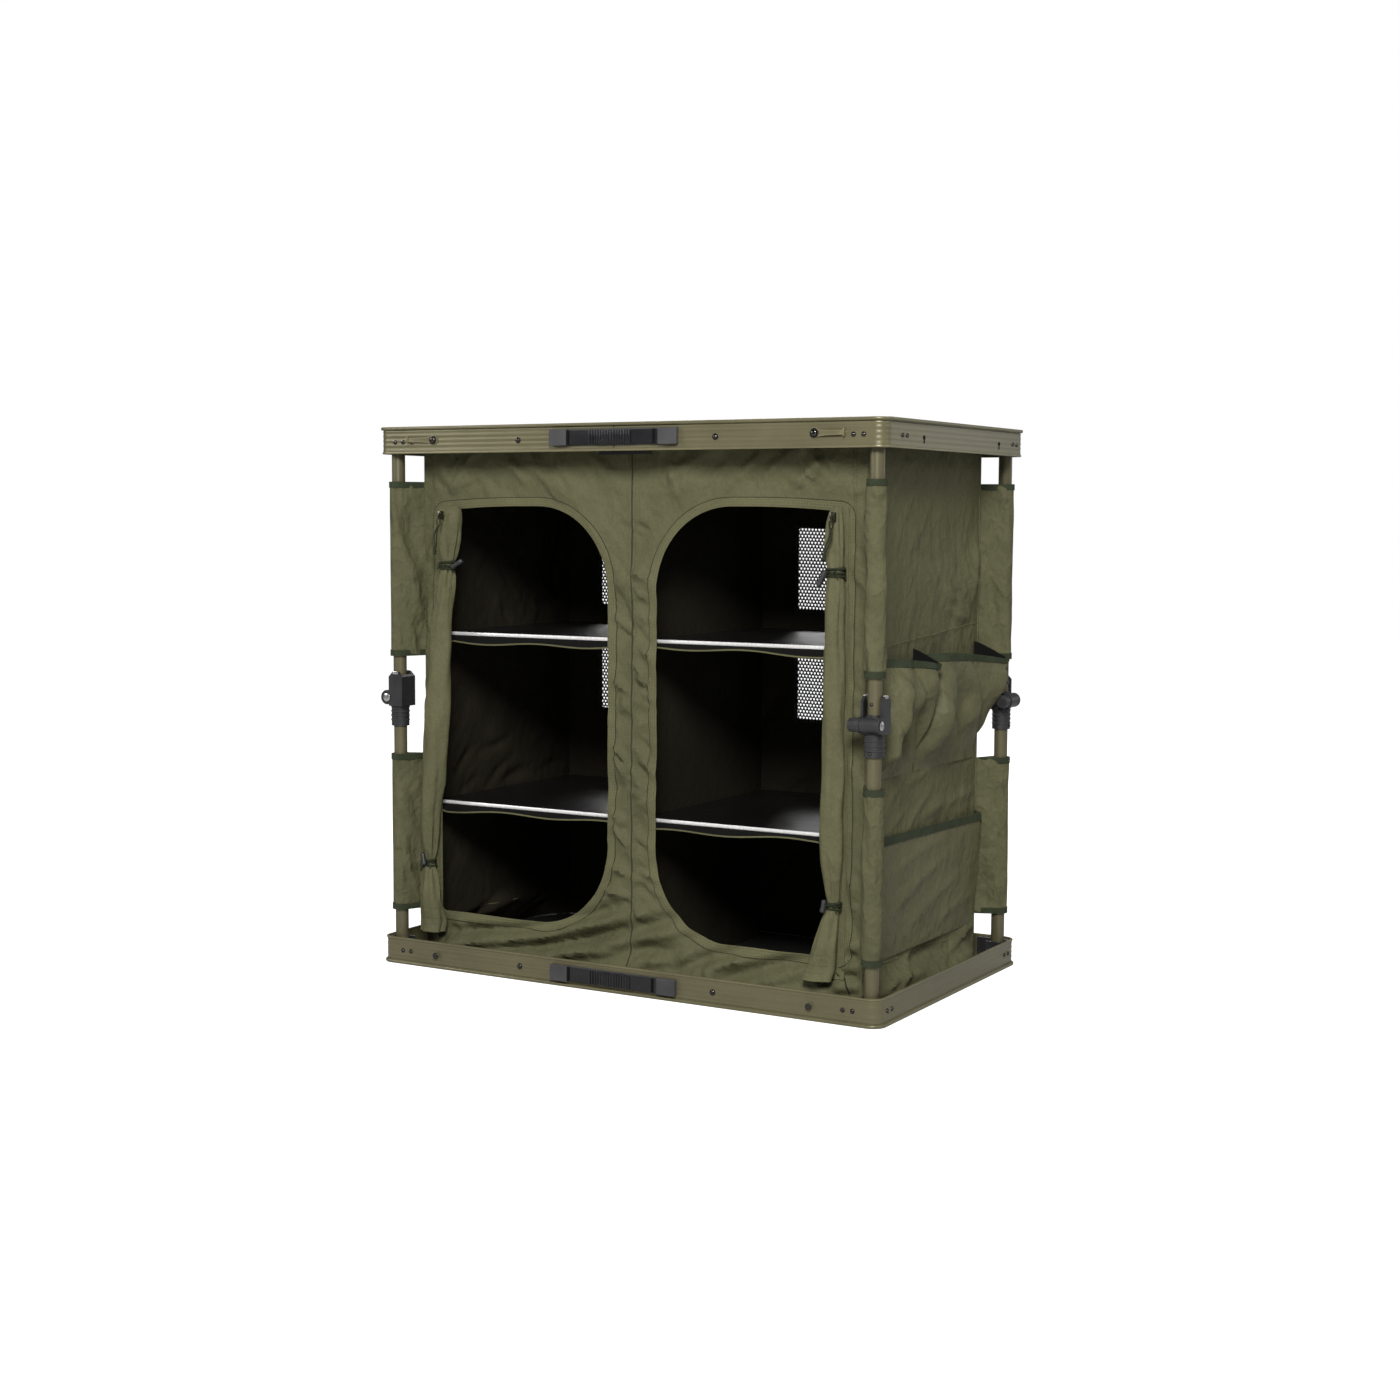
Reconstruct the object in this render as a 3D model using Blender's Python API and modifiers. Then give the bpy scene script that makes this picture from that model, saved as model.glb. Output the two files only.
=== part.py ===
"""Folding tent storage cupboard: two rail frames, four knuckled legs, a fabric body and shelf boards.

Metres, +Z up, the front faces -Y and X is the width. The origin is the middle of the footprint, on
the ground. Each leg is made once, for the front left corner, and turned by a quarter for each next
corner, so the four knuckles fold round the frame like a pinwheel.
"""

import math

import bmesh
import bpy
from mathutils import Matrix, Vector

# Overall size, over the rail lips
WIDTH = 0.800
DEPTH = 0.470
HEIGHT = 0.770
# Clearance between pieces that touch
GAP = 0.0003
# How far a cutter reaches past what it cuts: a bore past its ends, and an opening's past slack cloth
BORE_OVER = 0.001
OPENING_OVER = 0.020

# Rail extrusion, bent round the four corners
RAIL_HEIGHT = 0.038
RAIL_WALL = 0.002
RAIL_CORNER = 0.017
LIP_PROUD = 0.003
LIP_HEIGHT = 0.0026
RIM_PROUD = 0.001
RIM_HEIGHT = 0.0016
FLUTE_DEPTH = 0.0005
FLUTE_WIDTH = 0.002
FLANGE_WIDTH = 0.008
FLANGE_THICK = 0.0015
PANEL_THICK = 0.005
CORNER_STEPS = 5

# Legs
LEG_INSET = 0.020
TUBE_RADIUS = 0.0095
TUBE_WALL = 0.0012
TUBE_SIDES = 16
SMALL_SIDES = 12
TUBE_TAIL = 0.010
KNEE_OFFSET = 0.0125
HINGE_PIN_RADIUS = 0.003
HINGE_PIN_PLAY = 0.0004

# Corner brackets
SLOT_PLAY = 0.0005
SWING_PLAY = 0.0004
CHEEK_THICK = 0.0035
CHEEK_REACH = 0.013
ARM_THICK = 0.006
ARM_LONG = 0.036
ARM_SHORT = 0.019
BRACKET_DROP = 0.003

# Knuckles
SOCKET_LENGTH = 0.041
SOCKET_FLOOR = 0.012
SOCKET_WALL = 0.0030
PRONG_HEIGHT = 0.037
PRONG_THICK = 0.0037
PRONG_FRONT = 0.009
PRONG_SLOPE = 0.007
WEB_THICK = 0.003
BARREL_RADIUS = 0.0105
COLLAR_WALL = 0.0017
COLLAR_HEIGHT = 0.013
COLLAR_FLOOR = 0.002
KNUCKLE_PIN_RADIUS = 0.0028
PIN_HEAD_RADIUS = 0.0062
PIN_HEAD_THICK = 0.0016
KNOB_RADIUS = 0.0085
KNOB_LENGTH = 0.0130

# Carry handles
HANDLE_LENGTH = 0.200
HANDLE_HEIGHT = 0.022
HANDLE_PROUD = 0.007
HANDLE_BACK = 0.0015
HANDLE_BLOCK = 0.028
GRIP_HEIGHT = 0.018
GRIP_RIBS = 16
GRIP_RIB_PITCH = 0.0034
GRIP_RIB_DEPTH = 0.0012

# Case latches
LATCH_FROM_SIDE = 0.098
LATCH_THICK = 0.0015
LATCH_WIDTH = 0.010
LATCH_HOOK = 0.007
LATCH_SCREW_RADIUS = 0.0045
LATCH_SCREW_THICK = 0.0015
STUD_NECK_RADIUS = 0.002
STUD_HEAD_RADIUS = 0.0045
STUD_HEAD_THICK = 0.0015
STUD_PLAY = 0.0006

# Fabric body
CLOTH = 0.0015
FOLD = 0.0025
BODY_INSET = 0.0265
FLARE = 0.028
FLARE_HEIGHT = 0.048
FLARE_CORNER = 0.060
SLEEVE_PLAY = 0.0004
SLEEVE_WALL = 0.0012
SLEEVE_FROM_RAIL = 0.077
SLEEVE_UNDER_KNEE = 0.082
SLEEVE_OVER_KNEE = 0.060
OPENING_INNER = 0.038
OPENING_EDGE = 0.027
OPENING_BOTTOM = 0.074
OPENING_DOWN = 0.110
OPENING_ARCH = 0.115
OPENING_CORNER = 0.012

# Shelf boards, by the height of their tops
SHELF_LOW = 0.234
SHELF_HIGH = 0.479
BOARD_THICK = 0.004
BOARD_CORNER = 0.012
BOARD_FRONT_GAP = 0.014
BOARD_BACK_GAP = 0.008
BOARD_SIDE_GAP = 0.006
SLING_HEM = 0.009
SLING_CURVE = 0.005

# Mesh windows in the back wall
WINDOW_INNER = 0.063
WINDOW_WIDTH = 0.222
WINDOW_HIGH_BOTTOM = 0.509
WINDOW_HIGH_TOP = 0.629
WINDOW_LOW_BOTTOM = 0.344
WINDOW_LOW_TOP = 0.450
WINDOW_SEAM = 0.006
WINDOW_FLAT = 0.026
WINDOW_CALM = 0.030
MESH_THICK = 0.001

# Rolled doors, tied at the outer edge of each opening
ROLL_RADIUS = 0.016
ROLL_FLATTEN = 0.65
ROLL_TOP_DOWN = 0.106
ROLL_BOTTOM = 0.048
ROLL_CLEAR = 0.009
ROLL_SHOULDER = 0.045
TIE_HIGH = 0.575
TIE_LOW = 0.145
TIE_PINCH = 0.050
# How far each roll stands off the flat of the front panel; folds in the cloth take up the rest
ROLL_STAND_OFF = {"left": 0.0006, "right": 0.0}
# How far in from the side wall each roll hangs at its lower end, lower tie and upper tie
ROLL_INSETS = {"left": (0.0225, 0.0095, 0.0425), "right": (0.0560, 0.0375, 0.0385)}

# Side pockets
POCKET_TOP = 0.464
POCKET_BOTTOM = 0.306
POCKET_MIDDLE_Y = 0.030
POCKET_SPLIT = 0.004
POCKET_LOW_GAPE = 0.004
POCKET_FRONT_GAPE = 0.018
POCKET_BACK_GAPE = 0.032
POCKET_EDGE = 0.008
POCKET_CALM = 0.050
FLAT_POCKET_TOP = 0.228
FLAT_POCKET_BOTTOM = 0.060
FLAT_POCKET_DEPTH = 0.003

# Colours, linear: colour, roughness, metallic
FINISHES = {
    "rail_paint": ((0.105, 0.092, 0.040), 0.38, 0.55),
    "shelf_board": ((0.02, 0.016, 0.014), 0.35, 0.0),
    "worktop": ((0.045, 0.045, 0.030), 0.55, 0.0),
    "base_board": ((0.020, 0.020, 0.018), 0.6, 0.0),
    "black_plastic": ((0.022, 0.021, 0.024), 0.45, 0.0),
    "grip_rubber": ((0.025, 0.025, 0.028), 0.6, 0.0),
    "bright_steel": ((0.55, 0.55, 0.55), 0.25, 1.0),
    "olive_cloth": ((0.115, 0.115, 0.060), 0.85, 0.0),
    "black_cloth": ((0.012, 0.011, 0.011), 0.9, 0.0),
    "black_mesh": ((0.02, 0.02, 0.02), 0.8, 0.0),
}

# Places worked out from the sizes above
RAIL_FACE_X = WIDTH / 2 - LIP_PROUD
RAIL_FACE_Y = DEPTH / 2 - LIP_PROUD
LEG_X = RAIL_FACE_X - LEG_INSET
LEG_Y = RAIL_FACE_Y - LEG_INSET
LATCH_X = RAIL_FACE_X - LATCH_FROM_SIDE
PIVOT_RISE = RAIL_HEIGHT - KNEE_OFFSET
KNEE_Z = HEIGHT / 2
CHANNEL_LOW = FLANGE_THICK
CHANNEL_HIGH = CHANNEL_LOW + PANEL_THICK + 2 * GAP
FLANGE_TOP = CHANNEL_HIGH + FLANGE_THICK
PANEL_LOW = CHANNEL_LOW + GAP
PANEL_HIGH = PANEL_LOW + PANEL_THICK
BODY_X = LEG_X - BODY_INSET
BODY_Y = LEG_Y - BODY_INSET
BODY_LOW = PANEL_HIGH + GAP + CLOTH / 2
BODY_HIGH = HEIGHT - PANEL_HIGH - GAP
SWING = math.hypot(TUBE_TAIL, TUBE_RADIUS) + SWING_PLAY
SLOT = TUBE_RADIUS + SLOT_PLAY
SOCKET_RADIUS = TUBE_RADIUS + GAP + SOCKET_WALL
COLLAR_RADIUS = TUBE_RADIUS + GAP + COLLAR_WALL
FORK_HALF = COLLAR_RADIUS + GAP
PRONG_OUTER = FORK_HALF + PRONG_THICK
# The whole part lies back by this, so that its box is centred on the origin
SHIFT_Y = (HANDLE_PROUD - LIP_PROUD) / 2

CORNERS = ("front_left", "front_right", "back_right", "back_left")
CORNER_PLACES = {
    "front_left": (-LEG_X, -LEG_Y),
    "front_right": (LEG_X, -LEG_Y),
    "back_right": (LEG_X, LEG_Y),
    "back_left": (-LEG_X, LEG_Y),
}
SIDES = {"left": -1, "right": 1}

for old in list(bpy.data.objects):
    bpy.data.objects.remove(old, do_unlink=True)
PARTS = bpy.data.collections.new("tent_storage_cupboard")
bpy.context.scene.collection.children.link(PARTS)


def make_materials():
    made = {}
    for name, (colour, roughness, metallic) in FINISHES.items():
        material = bpy.data.materials.new(name)
        material.use_nodes = True
        shader = material.node_tree.nodes["Principled BSDF"]
        shader.inputs["Base Color"].default_value = (*colour, 1)
        shader.inputs["Roughness"].default_value = roughness
        shader.inputs["Metallic"].default_value = metallic
        material.diffuse_color = (*colour, 1)
        made[name] = material
    return made


MATERIALS = make_materials()


# Shapes: each returns a mesh object that is joined, cut or finished below
def object_of(mesh, name="shape"):
    obj = bpy.data.objects.new(name, mesh)
    PARTS.objects.link(obj)
    return obj


def object_from_bmesh(shape, name="shape"):
    mesh = bpy.data.meshes.new(name)
    bmesh.ops.recalc_face_normals(shape, faces=shape.faces)
    shape.to_mesh(mesh)
    shape.free()
    return object_of(mesh, name)


def baked(obj):
    """The object with its modifiers applied, or a curve turned into a closed mesh."""
    bpy.context.view_layer.update()
    graph = bpy.context.evaluated_depsgraph_get()
    mesh = bpy.data.meshes.new_from_object(obj.evaluated_get(graph))
    if obj.type == "CURVE":
        shape = bmesh.new()
        shape.from_mesh(mesh)
        bmesh.ops.remove_doubles(shape, verts=shape.verts, dist=1e-6)
        bmesh.ops.recalc_face_normals(shape, faces=shape.faces)
        shape.to_mesh(mesh)
        shape.free()
        solid = object_of(mesh)
        solid.matrix_world = obj.matrix_world
        bpy.data.objects.remove(obj, do_unlink=True)
        return solid
    obj.modifiers.clear()
    obj.data = mesh
    return obj


def facing_out(solid, triangles=False):
    shape = bmesh.new()
    shape.from_mesh(solid.data)
    if triangles:
        bmesh.ops.triangulate(shape, faces=shape.faces)
    bmesh.ops.recalc_face_normals(shape, faces=shape.faces)
    shape.to_mesh(solid.data)
    shape.free()
    return solid


def box(low, high):
    shape = bmesh.new()
    size = Vector(high) - Vector(low)
    centre = (Vector(high) + Vector(low)) / 2
    place = Matrix.Translation(centre) @ Matrix.Diagonal((*size, 1))
    bmesh.ops.create_cube(shape, size=1, matrix=place)
    return object_from_bmesh(shape)


def cylinder(radius, start, end, sides=TUBE_SIDES):
    start, end = Vector(start), Vector(end)
    along = end - start
    turn = along.to_track_quat("Z", "Y").to_matrix().to_4x4()
    shape = bmesh.new()
    bmesh.ops.create_cone(
        shape,
        cap_ends=True,
        segments=sides,
        radius1=radius,
        radius2=radius,
        depth=along.length,
        matrix=Matrix.Translation((start + end) / 2) @ turn,
    )
    return object_from_bmesh(shape)


def prism(outline, low, high, axis="Z"):
    """A flat outline drawn across an axis, from low to high along it."""
    curve = bpy.data.curves.new("outline", "CURVE")
    curve.dimensions = "2D"
    curve.fill_mode = "BOTH"
    curve.extrude = (high - low) / 2
    spline = curve.splines.new("POLY")
    spline.points.add(len(outline) - 1)
    for point, (a, b) in zip(spline.points, outline):
        point.co = (a, b, 0, 1)
    spline.use_cyclic_u = True
    solid = baked(object_of(curve))
    rows = {
        "Z": ((1, 0, 0, 0), (0, 1, 0, 0), (0, 0, 1, 0)),
        "Y": ((1, 0, 0, 0), (0, 0, 1, 0), (0, 1, 0, 0)),
        "X": ((0, 0, 1, 0), (1, 0, 0, 0), (0, 1, 0, 0)),
    }[axis]
    lift = Matrix.Translation((0, 0, (low + high) / 2))
    solid.data.transform(Matrix((*rows, (0, 0, 0, 1))) @ lift)
    return facing_out(solid)


def turned(profile, sides=SMALL_SIDES):
    """A profile of (radius, height) points, from the axis at the top to the axis below, turned round Z."""
    mesh = bpy.data.meshes.new("profile")
    points = [(radius, 0, height) for radius, height in profile]
    mesh.from_pydata(points, [(i, i + 1) for i in range(len(points) - 1)], [])
    solid = object_of(mesh)
    screw = solid.modifiers.new("turn", "SCREW")
    screw.steps = sides
    screw.render_steps = sides
    screw.use_merge_vertices = True
    screw.merge_threshold = 0.00001
    return facing_out(baked(solid))


def combined(body, others, operation):
    for other in others:
        step = body.modifiers.new(operation.lower(), "BOOLEAN")
        step.operation = operation
        step.object = other
        step.solver = "EXACT"
    body = baked(body)
    for other in others:
        bpy.data.objects.remove(other, do_unlink=True)
    return body


def united(*solids):
    return combined(solids[0], solids[1:], "UNION")


def cut(body, *cutters):
    return combined(body, cutters, "DIFFERENCE")


def arc(centre, radius, start, end, steps):
    """Points on an arc, with its angles in degrees."""
    points = []
    for i in range(steps + 1):
        angle = math.radians(start + (end - start) * i / steps)
        points.append((centre[0] + radius * math.cos(angle), centre[1] + radius * math.sin(angle)))
    return points


def rounded_rectangle(half_x, half_y, radius, steps=CORNER_STEPS):
    points = []
    for i, (x, y) in enumerate(((1, 1), (-1, 1), (-1, -1), (1, -1))):
        centre = (x * (half_x - radius), y * (half_y - radius))
        points += arc(centre, radius, 90 * i, 90 * i + 90, steps)
    return points


def lifted(solid, x=0.0, y=0.0, z=0.0):
    solid.data.transform(Matrix.Translation((x, y, z)))
    return solid


def mirrored(solid, x=1, y=1, z=1):
    solid.data.transform(Matrix.Diagonal((x, y, z, 1)))
    if x * y * z < 0:
        solid.data.flip_normals()
    return solid


def grid(places_a, places_b, point):
    """An open surface over two rows of places, with each point given by a function of them."""
    shape = bmesh.new()
    columns = len(places_a)
    bmesh.ops.create_grid(shape, x_segments=columns - 1, y_segments=len(places_b) - 1, size=1)
    shape.verts.ensure_lookup_table()
    order = sorted(shape.verts, key=lambda vert: (round(vert.co.y, 4), round(vert.co.x, 4)))
    for i, vert in enumerate(order):
        vert.co = point(places_a[i % columns], places_b[i // columns])
    mesh = bpy.data.meshes.new("sheet")
    shape.to_mesh(mesh)
    shape.free()
    return object_of(mesh)


def sheet(places_a, places_b, point, thick=CLOTH):
    solid = grid(places_a, places_b, point)
    shell = solid.modifiers.new("thickness", "SOLIDIFY")
    shell.thickness = thick
    shell.offset = 0
    return facing_out(baked(solid), triangles=True)


def finished(solid, name, material, parent=None, smooth=35):
    solid.name = name
    solid.data.name = name
    solid.data.materials.clear()
    solid.data.materials.append(MATERIALS[material])
    solid.data.shade_smooth()
    solid.data.set_sharp_from_angle(angle=math.radians(smooth))
    if parent:
        solid.parent = parent
    return solid


def copied(solid, name, parent):
    twin = object_of(solid.data, name)
    twin.parent = parent
    return twin


def empty(name, place, parent=None, quarter_turns=0):
    obj = bpy.data.objects.new(name, None)
    PARTS.objects.link(obj)
    obj.location = place
    obj.rotation_euler = (0, 0, quarter_turns * math.pi / 2)
    obj.empty_display_size = 0.02
    obj.parent = parent
    return obj


# Rail frames and the panels in their channels
def rail_profile():
    """The section of the base rail: how far out of the face, and how high."""
    face_low = LIP_HEIGHT + LIP_PROUD / 2
    face_high = RAIL_HEIGHT - RIM_HEIGHT - RIM_PROUD
    points = [(LIP_PROUD, 0), (LIP_PROUD, LIP_HEIGHT), (0, face_low)]
    for flute in (1, 2, 3):
        middle = face_low + (face_high - face_low) * flute / 4
        points += [(0, middle - FLUTE_WIDTH), (-FLUTE_DEPTH, middle), (0, middle + FLUTE_WIDTH)]
    inner = -RAIL_WALL
    edge = inner - FLANGE_WIDTH
    points += [(0, face_high), (RIM_PROUD, RAIL_HEIGHT - RIM_HEIGHT), (RIM_PROUD, RAIL_HEIGHT)]
    points += [(inner, RAIL_HEIGHT), (inner, FLANGE_TOP), (edge, FLANGE_TOP), (edge, CHANNEL_HIGH)]
    points += [(inner, CHANNEL_HIGH), (inner, CHANNEL_LOW), (edge, CHANNEL_LOW), (edge, 0)]
    return points


def make_rail():
    section = bpy.data.curves.new("rail_section", "CURVE")
    section.dimensions = "2D"
    spline = section.splines.new("POLY")
    profile = rail_profile()
    spline.points.add(len(profile) - 1)
    for point, (out, high) in zip(spline.points, profile):
        point.co = (-out, high, 0, 1)
    spline.use_cyclic_u = True
    section_object = object_of(section)
    path = bpy.data.curves.new("rail_path", "CURVE")
    path.dimensions = "2D"
    path.fill_mode = "NONE"
    path.bevel_mode = "OBJECT"
    path.bevel_object = section_object
    corners = rounded_rectangle(RAIL_FACE_X, RAIL_FACE_Y, RAIL_CORNER)
    spline = path.splines.new("POLY")
    spline.points.add(len(corners) - 1)
    for point, (x, y) in zip(spline.points, corners):
        point.co = (x, y, 0, 1)
    spline.use_cyclic_u = True
    rail = baked(object_of(path))
    bpy.data.objects.remove(section_object, do_unlink=True)
    return rail


def make_panel():
    inset = RAIL_WALL + GAP
    outline = rounded_rectangle(RAIL_FACE_X - inset, RAIL_FACE_Y - inset, RAIL_CORNER - inset)
    return prism(outline, PANEL_LOW, PANEL_HIGH)


# Corner brackets, with the tube's pivot at the origin of x and y and outwards along -x
def make_bracket():
    wall = LEG_INSET - RAIL_WALL - GAP
    bend = RAIL_CORNER - LEG_INSET
    cheek = SLOT + CHEEK_THICK
    low = FLANGE_TOP + GAP
    high = RAIL_HEIGHT - BRACKET_DROP
    outline = [(ARM_LONG, -wall + ARM_THICK), (ARM_LONG, -wall)]
    outline = outline[::-1] + [(CHEEK_REACH, -wall + ARM_THICK), (CHEEK_REACH, -SLOT), (-SWING, -SLOT)]
    outline += [(-SWING, SLOT), (CHEEK_REACH, SLOT), (CHEEK_REACH, cheek), (-SWING, cheek)]
    outer = arc((bend, bend), wall + bend, 180, 270, CORNER_STEPS)
    frame = prism(outline + [(-SWING, ARM_SHORT), (-wall, ARM_SHORT)] + outer, low, high)
    under = [(CHEEK_REACH, cheek), (-wall, cheek)] + outer + [(CHEEK_REACH, -wall)]
    floor = prism(under, low, PIVOT_RISE - SWING)
    pin_ends = ((0, -SLOT - CHEEK_THICK / 2, PIVOT_RISE), (0, SLOT + CHEEK_THICK / 2, PIVOT_RISE))
    return united(frame, floor, cylinder(HINGE_PIN_RADIUS, *pin_ends, sides=SMALL_SIDES))


# Leg tubes: the lower from its pivot upwards, the upper from the knee upwards
def make_tube(low, high, pivot):
    tube = cylinder(TUBE_RADIUS, (0, 0, low), (0, 0, high))
    bore = cylinder(TUBE_RADIUS - TUBE_WALL, (0, 0, low - BORE_OVER), (0, 0, high + BORE_OVER))
    reach = TUBE_RADIUS + BORE_OVER
    ends = ((0, -reach, pivot), (0, reach, pivot))
    hole = cylinder(HINGE_PIN_RADIUS + HINGE_PIN_PLAY, *ends, sides=SMALL_SIDES)
    return cut(tube, bore, hole)


# Knuckles, with the tube's axis on z and the knee pivot at -KNEE_OFFSET on x, at height 0
def make_lower_knuckle():
    web = -(FORK_HALF + WEB_THICK)
    outline = [(-web, -SOCKET_FLOOR - GAP), (-web, PRONG_HEIGHT - PRONG_SLOPE)]
    outline += [(-web - PRONG_SLOPE, PRONG_HEIGHT), (-PRONG_FRONT + PRONG_SLOPE, PRONG_HEIGHT)]
    outline += [(-PRONG_FRONT, PRONG_HEIGHT - PRONG_SLOPE), (-PRONG_FRONT, -SOCKET_FLOOR - GAP)]
    fork = prism(outline[::-1], -PRONG_OUTER, PRONG_OUTER, "Y")
    knee = (-KNEE_OFFSET, 0)
    lugs = cylinder(BARREL_RADIUS, (knee[0], -PRONG_OUTER, 0), (knee[0], PRONG_OUTER, 0))
    socket = cylinder(SOCKET_RADIUS, (0, 0, -SOCKET_LENGTH), (0, 0, -GAP))
    body = united(fork, lugs, socket)
    slot_end = -KNEE_OFFSET - BARREL_RADIUS - BORE_OVER
    slot = box((slot_end, -FORK_HALF, -GAP), (FORK_HALF, FORK_HALF, PRONG_HEIGHT + BORE_OVER))
    barrel = cylinder(BARREL_RADIUS + GAP, (knee[0], -FORK_HALF, 0), (knee[0], FORK_HALF, 0))
    bore = cylinder(TUBE_RADIUS + GAP, (0, 0, -SOCKET_LENGTH - BORE_OVER), (0, 0, -SOCKET_FLOOR))
    return cut(body, slot, barrel, bore, pin_bore())


def pin_bore():
    reach = PRONG_OUTER + BORE_OVER
    ends = ((-KNEE_OFFSET, -reach, 0), (-KNEE_OFFSET, reach, 0))
    return cylinder(KNUCKLE_PIN_RADIUS + GAP, *ends, sides=SMALL_SIDES)


def make_upper_knuckle():
    collar = cylinder(COLLAR_RADIUS, (0, 0, GAP), (0, 0, COLLAR_HEIGHT))
    ends = ((-KNEE_OFFSET, -COLLAR_RADIUS, 0), (-KNEE_OFFSET, COLLAR_RADIUS, 0))
    barrel = cylinder(BARREL_RADIUS - GAP, *ends)
    bore = cylinder(TUBE_RADIUS + GAP, (0, 0, COLLAR_FLOOR), (0, 0, COLLAR_HEIGHT + BORE_OVER))
    return cut(united(collar, barrel), bore, pin_bore())


def make_knuckle_pin():
    """The rivet through the knee: a bright head at the front end and a ribbed knob at the other."""
    seat = PRONG_OUTER + GAP
    tip = seat + KNOB_LENGTH
    dome = PIN_HEAD_THICK * 0.4
    profile = [(0, tip), (KNOB_RADIUS * 0.8, tip), (KNOB_RADIUS, tip - KNOB_LENGTH * 0.25)]
    profile += [(KNOB_RADIUS, seat), (KNUCKLE_PIN_RADIUS, seat), (KNUCKLE_PIN_RADIUS, -seat)]
    profile += [(PIN_HEAD_RADIUS, -seat), (PIN_HEAD_RADIUS, -seat - dome)]
    profile += [(PIN_HEAD_RADIUS * 0.6, -seat - PIN_HEAD_THICK), (0, -seat - PIN_HEAD_THICK)]
    pin = turned(profile)
    pin.data.transform(Matrix.Rotation(-math.pi / 2, 4, "X"))
    return lifted(pin, x=-KNEE_OFFSET)


# Carry handle, with its middle at the origin of x and z and the rail's face at y = 0
def make_handle_plate():
    half = HANDLE_LENGTH / 2
    high = HANDLE_HEIGHT / 2
    solid = box((-half, -GAP - HANDLE_BACK, -high), (half, -GAP, high))
    for side in (-1, 1):
        ends = sorted((side * half, side * (half - HANDLE_BLOCK)))
        block = box((ends[0], -HANDLE_PROUD, -high), (ends[1], -HANDLE_BACK / 2, high))
        solid = united(solid, block)
    return solid


def make_handle_grip():
    half = HANDLE_LENGTH / 2 - HANDLE_BLOCK - 2 * GAP
    front = -HANDLE_PROUD + GRIP_RIB_DEPTH
    back = -HANDLE_BACK - 2 * GAP
    outline = [(-half, back), (-half, front)]
    for i in range(GRIP_RIBS):
        start = (i - GRIP_RIBS / 2) * GRIP_RIB_PITCH
        outline += [(start, front), (start + GRIP_RIB_PITCH * 0.2, -HANDLE_PROUD)]
        outline += [(start + GRIP_RIB_PITCH * 0.6, -HANDLE_PROUD)]
        outline += [(start + GRIP_RIB_PITCH * 0.8, front)]
    outline += [(half, front), (half, back)]
    return prism(outline[::-1], -GRIP_HEIGHT / 2, GRIP_HEIGHT / 2)


# Latches and their studs, with the rail's face at y = 0
def make_latch(side):
    """Lies along the rail, pivot at the origin, and turns down to hook the stud one rail height away."""
    half = LATCH_WIDTH / 2
    slot = STUD_NECK_RADIUS + STUD_PLAY
    reach = RAIL_HEIGHT
    back = -RIM_PROUD - GAP
    front = back - LATCH_THICK
    outline = arc((0, 0), half, -90, 90, 8)[::-1]
    outline = [(-x, z) for x, z in outline]
    outline += [(reach - slot - LATCH_HOOK / 2, -half)]
    outline += [(reach - slot, -half * 0.6), (reach - slot, 0)]
    outline += arc((reach, 0), slot, 180, 0, 6)
    outline += [(reach + slot, -half), (reach + slot + LATCH_HOOK / 2, -half)]
    outline += [(reach + slot + LATCH_HOOK / 2, half), (0, half)]
    plate = prism(outline[::-1], front, back, "Y")
    middle = (back + front) / 2
    washer = cylinder(half * 0.9, (0, -GAP, 0), (0, middle, 0), sides=SMALL_SIDES)
    screw_end = (0, front - LATCH_SCREW_THICK, 0)
    screw = cylinder(LATCH_SCREW_RADIUS, (0, middle, 0), screw_end, sides=SMALL_SIDES)
    return mirrored(united(plate, washer, screw), x=side)


def make_stud():
    neck_end = -RIM_PROUD - LATCH_THICK - 3 * GAP
    tip = neck_end - STUD_HEAD_THICK
    neck = cylinder(STUD_NECK_RADIUS, (0, -GAP, 0), (0, (neck_end + tip) / 2, 0), sides=SMALL_SIDES)
    head = cylinder(STUD_HEAD_RADIUS, (0, neck_end, 0), (0, tip, 0), sides=SMALL_SIDES)
    return united(neck, head)


# Fabric: held at its hems and at each shelf, and slack between
def levels():
    return (BODY_LOW, SHELF_LOW, SHELF_HIGH, BODY_HIGH)


def slack(height):
    """How far the cloth may leave its plane at this height, from 0 where it is held to 1 midway."""
    held = levels()
    for low, high in zip(held, held[1:]):
        if low <= height <= high:
            return math.sin(math.pi * (height - low) / (high - low))
    return 0.0


def flare(height, to_corner):
    """How far the foot of a wall spreads towards the base rail, fading out near the legs."""
    foot = max(0.0, 1 - (height - BODY_LOW) / FLARE_HEIGHT)
    free = min(max(to_corner / FLARE_CORNER, 0.0), 1.0)
    return FLARE * foot**1.4 * free * free * (3 - 2 * free)


def cloth_heights(steps):
    rows = [BODY_LOW, BODY_LOW + FLARE_HEIGHT * 0.4, BODY_LOW + FLARE_HEIGHT]
    rows += spread(rows[-1], SHELF_LOW, steps)[1:]
    rows += spread(SHELF_LOW, SHELF_HIGH, steps)[1:]
    return rows + spread(SHELF_HIGH, BODY_HIGH, steps)[1:]


def spread(low, high, steps):
    return [low + (high - low) * i / steps for i in range(steps + 1)]


def opening_outline(side):
    inner = OPENING_INNER
    outer = BODY_X - OPENING_EDGE
    top = HEIGHT - OPENING_DOWN
    low = OPENING_BOTTOM
    arch = OPENING_ARCH
    corner = OPENING_CORNER
    points = arc((outer - corner, top - corner), corner, 0, 90, 3)
    points += arc((inner + arch, top - arch), arch, 90, 180, 8)
    points += arc((inner + arch, low + arch), arch, 180, 270, 8)
    points += arc((outer - corner, low + corner), corner, 270, 360, 3)
    return [(side * x, z) for x, z in points]


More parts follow.
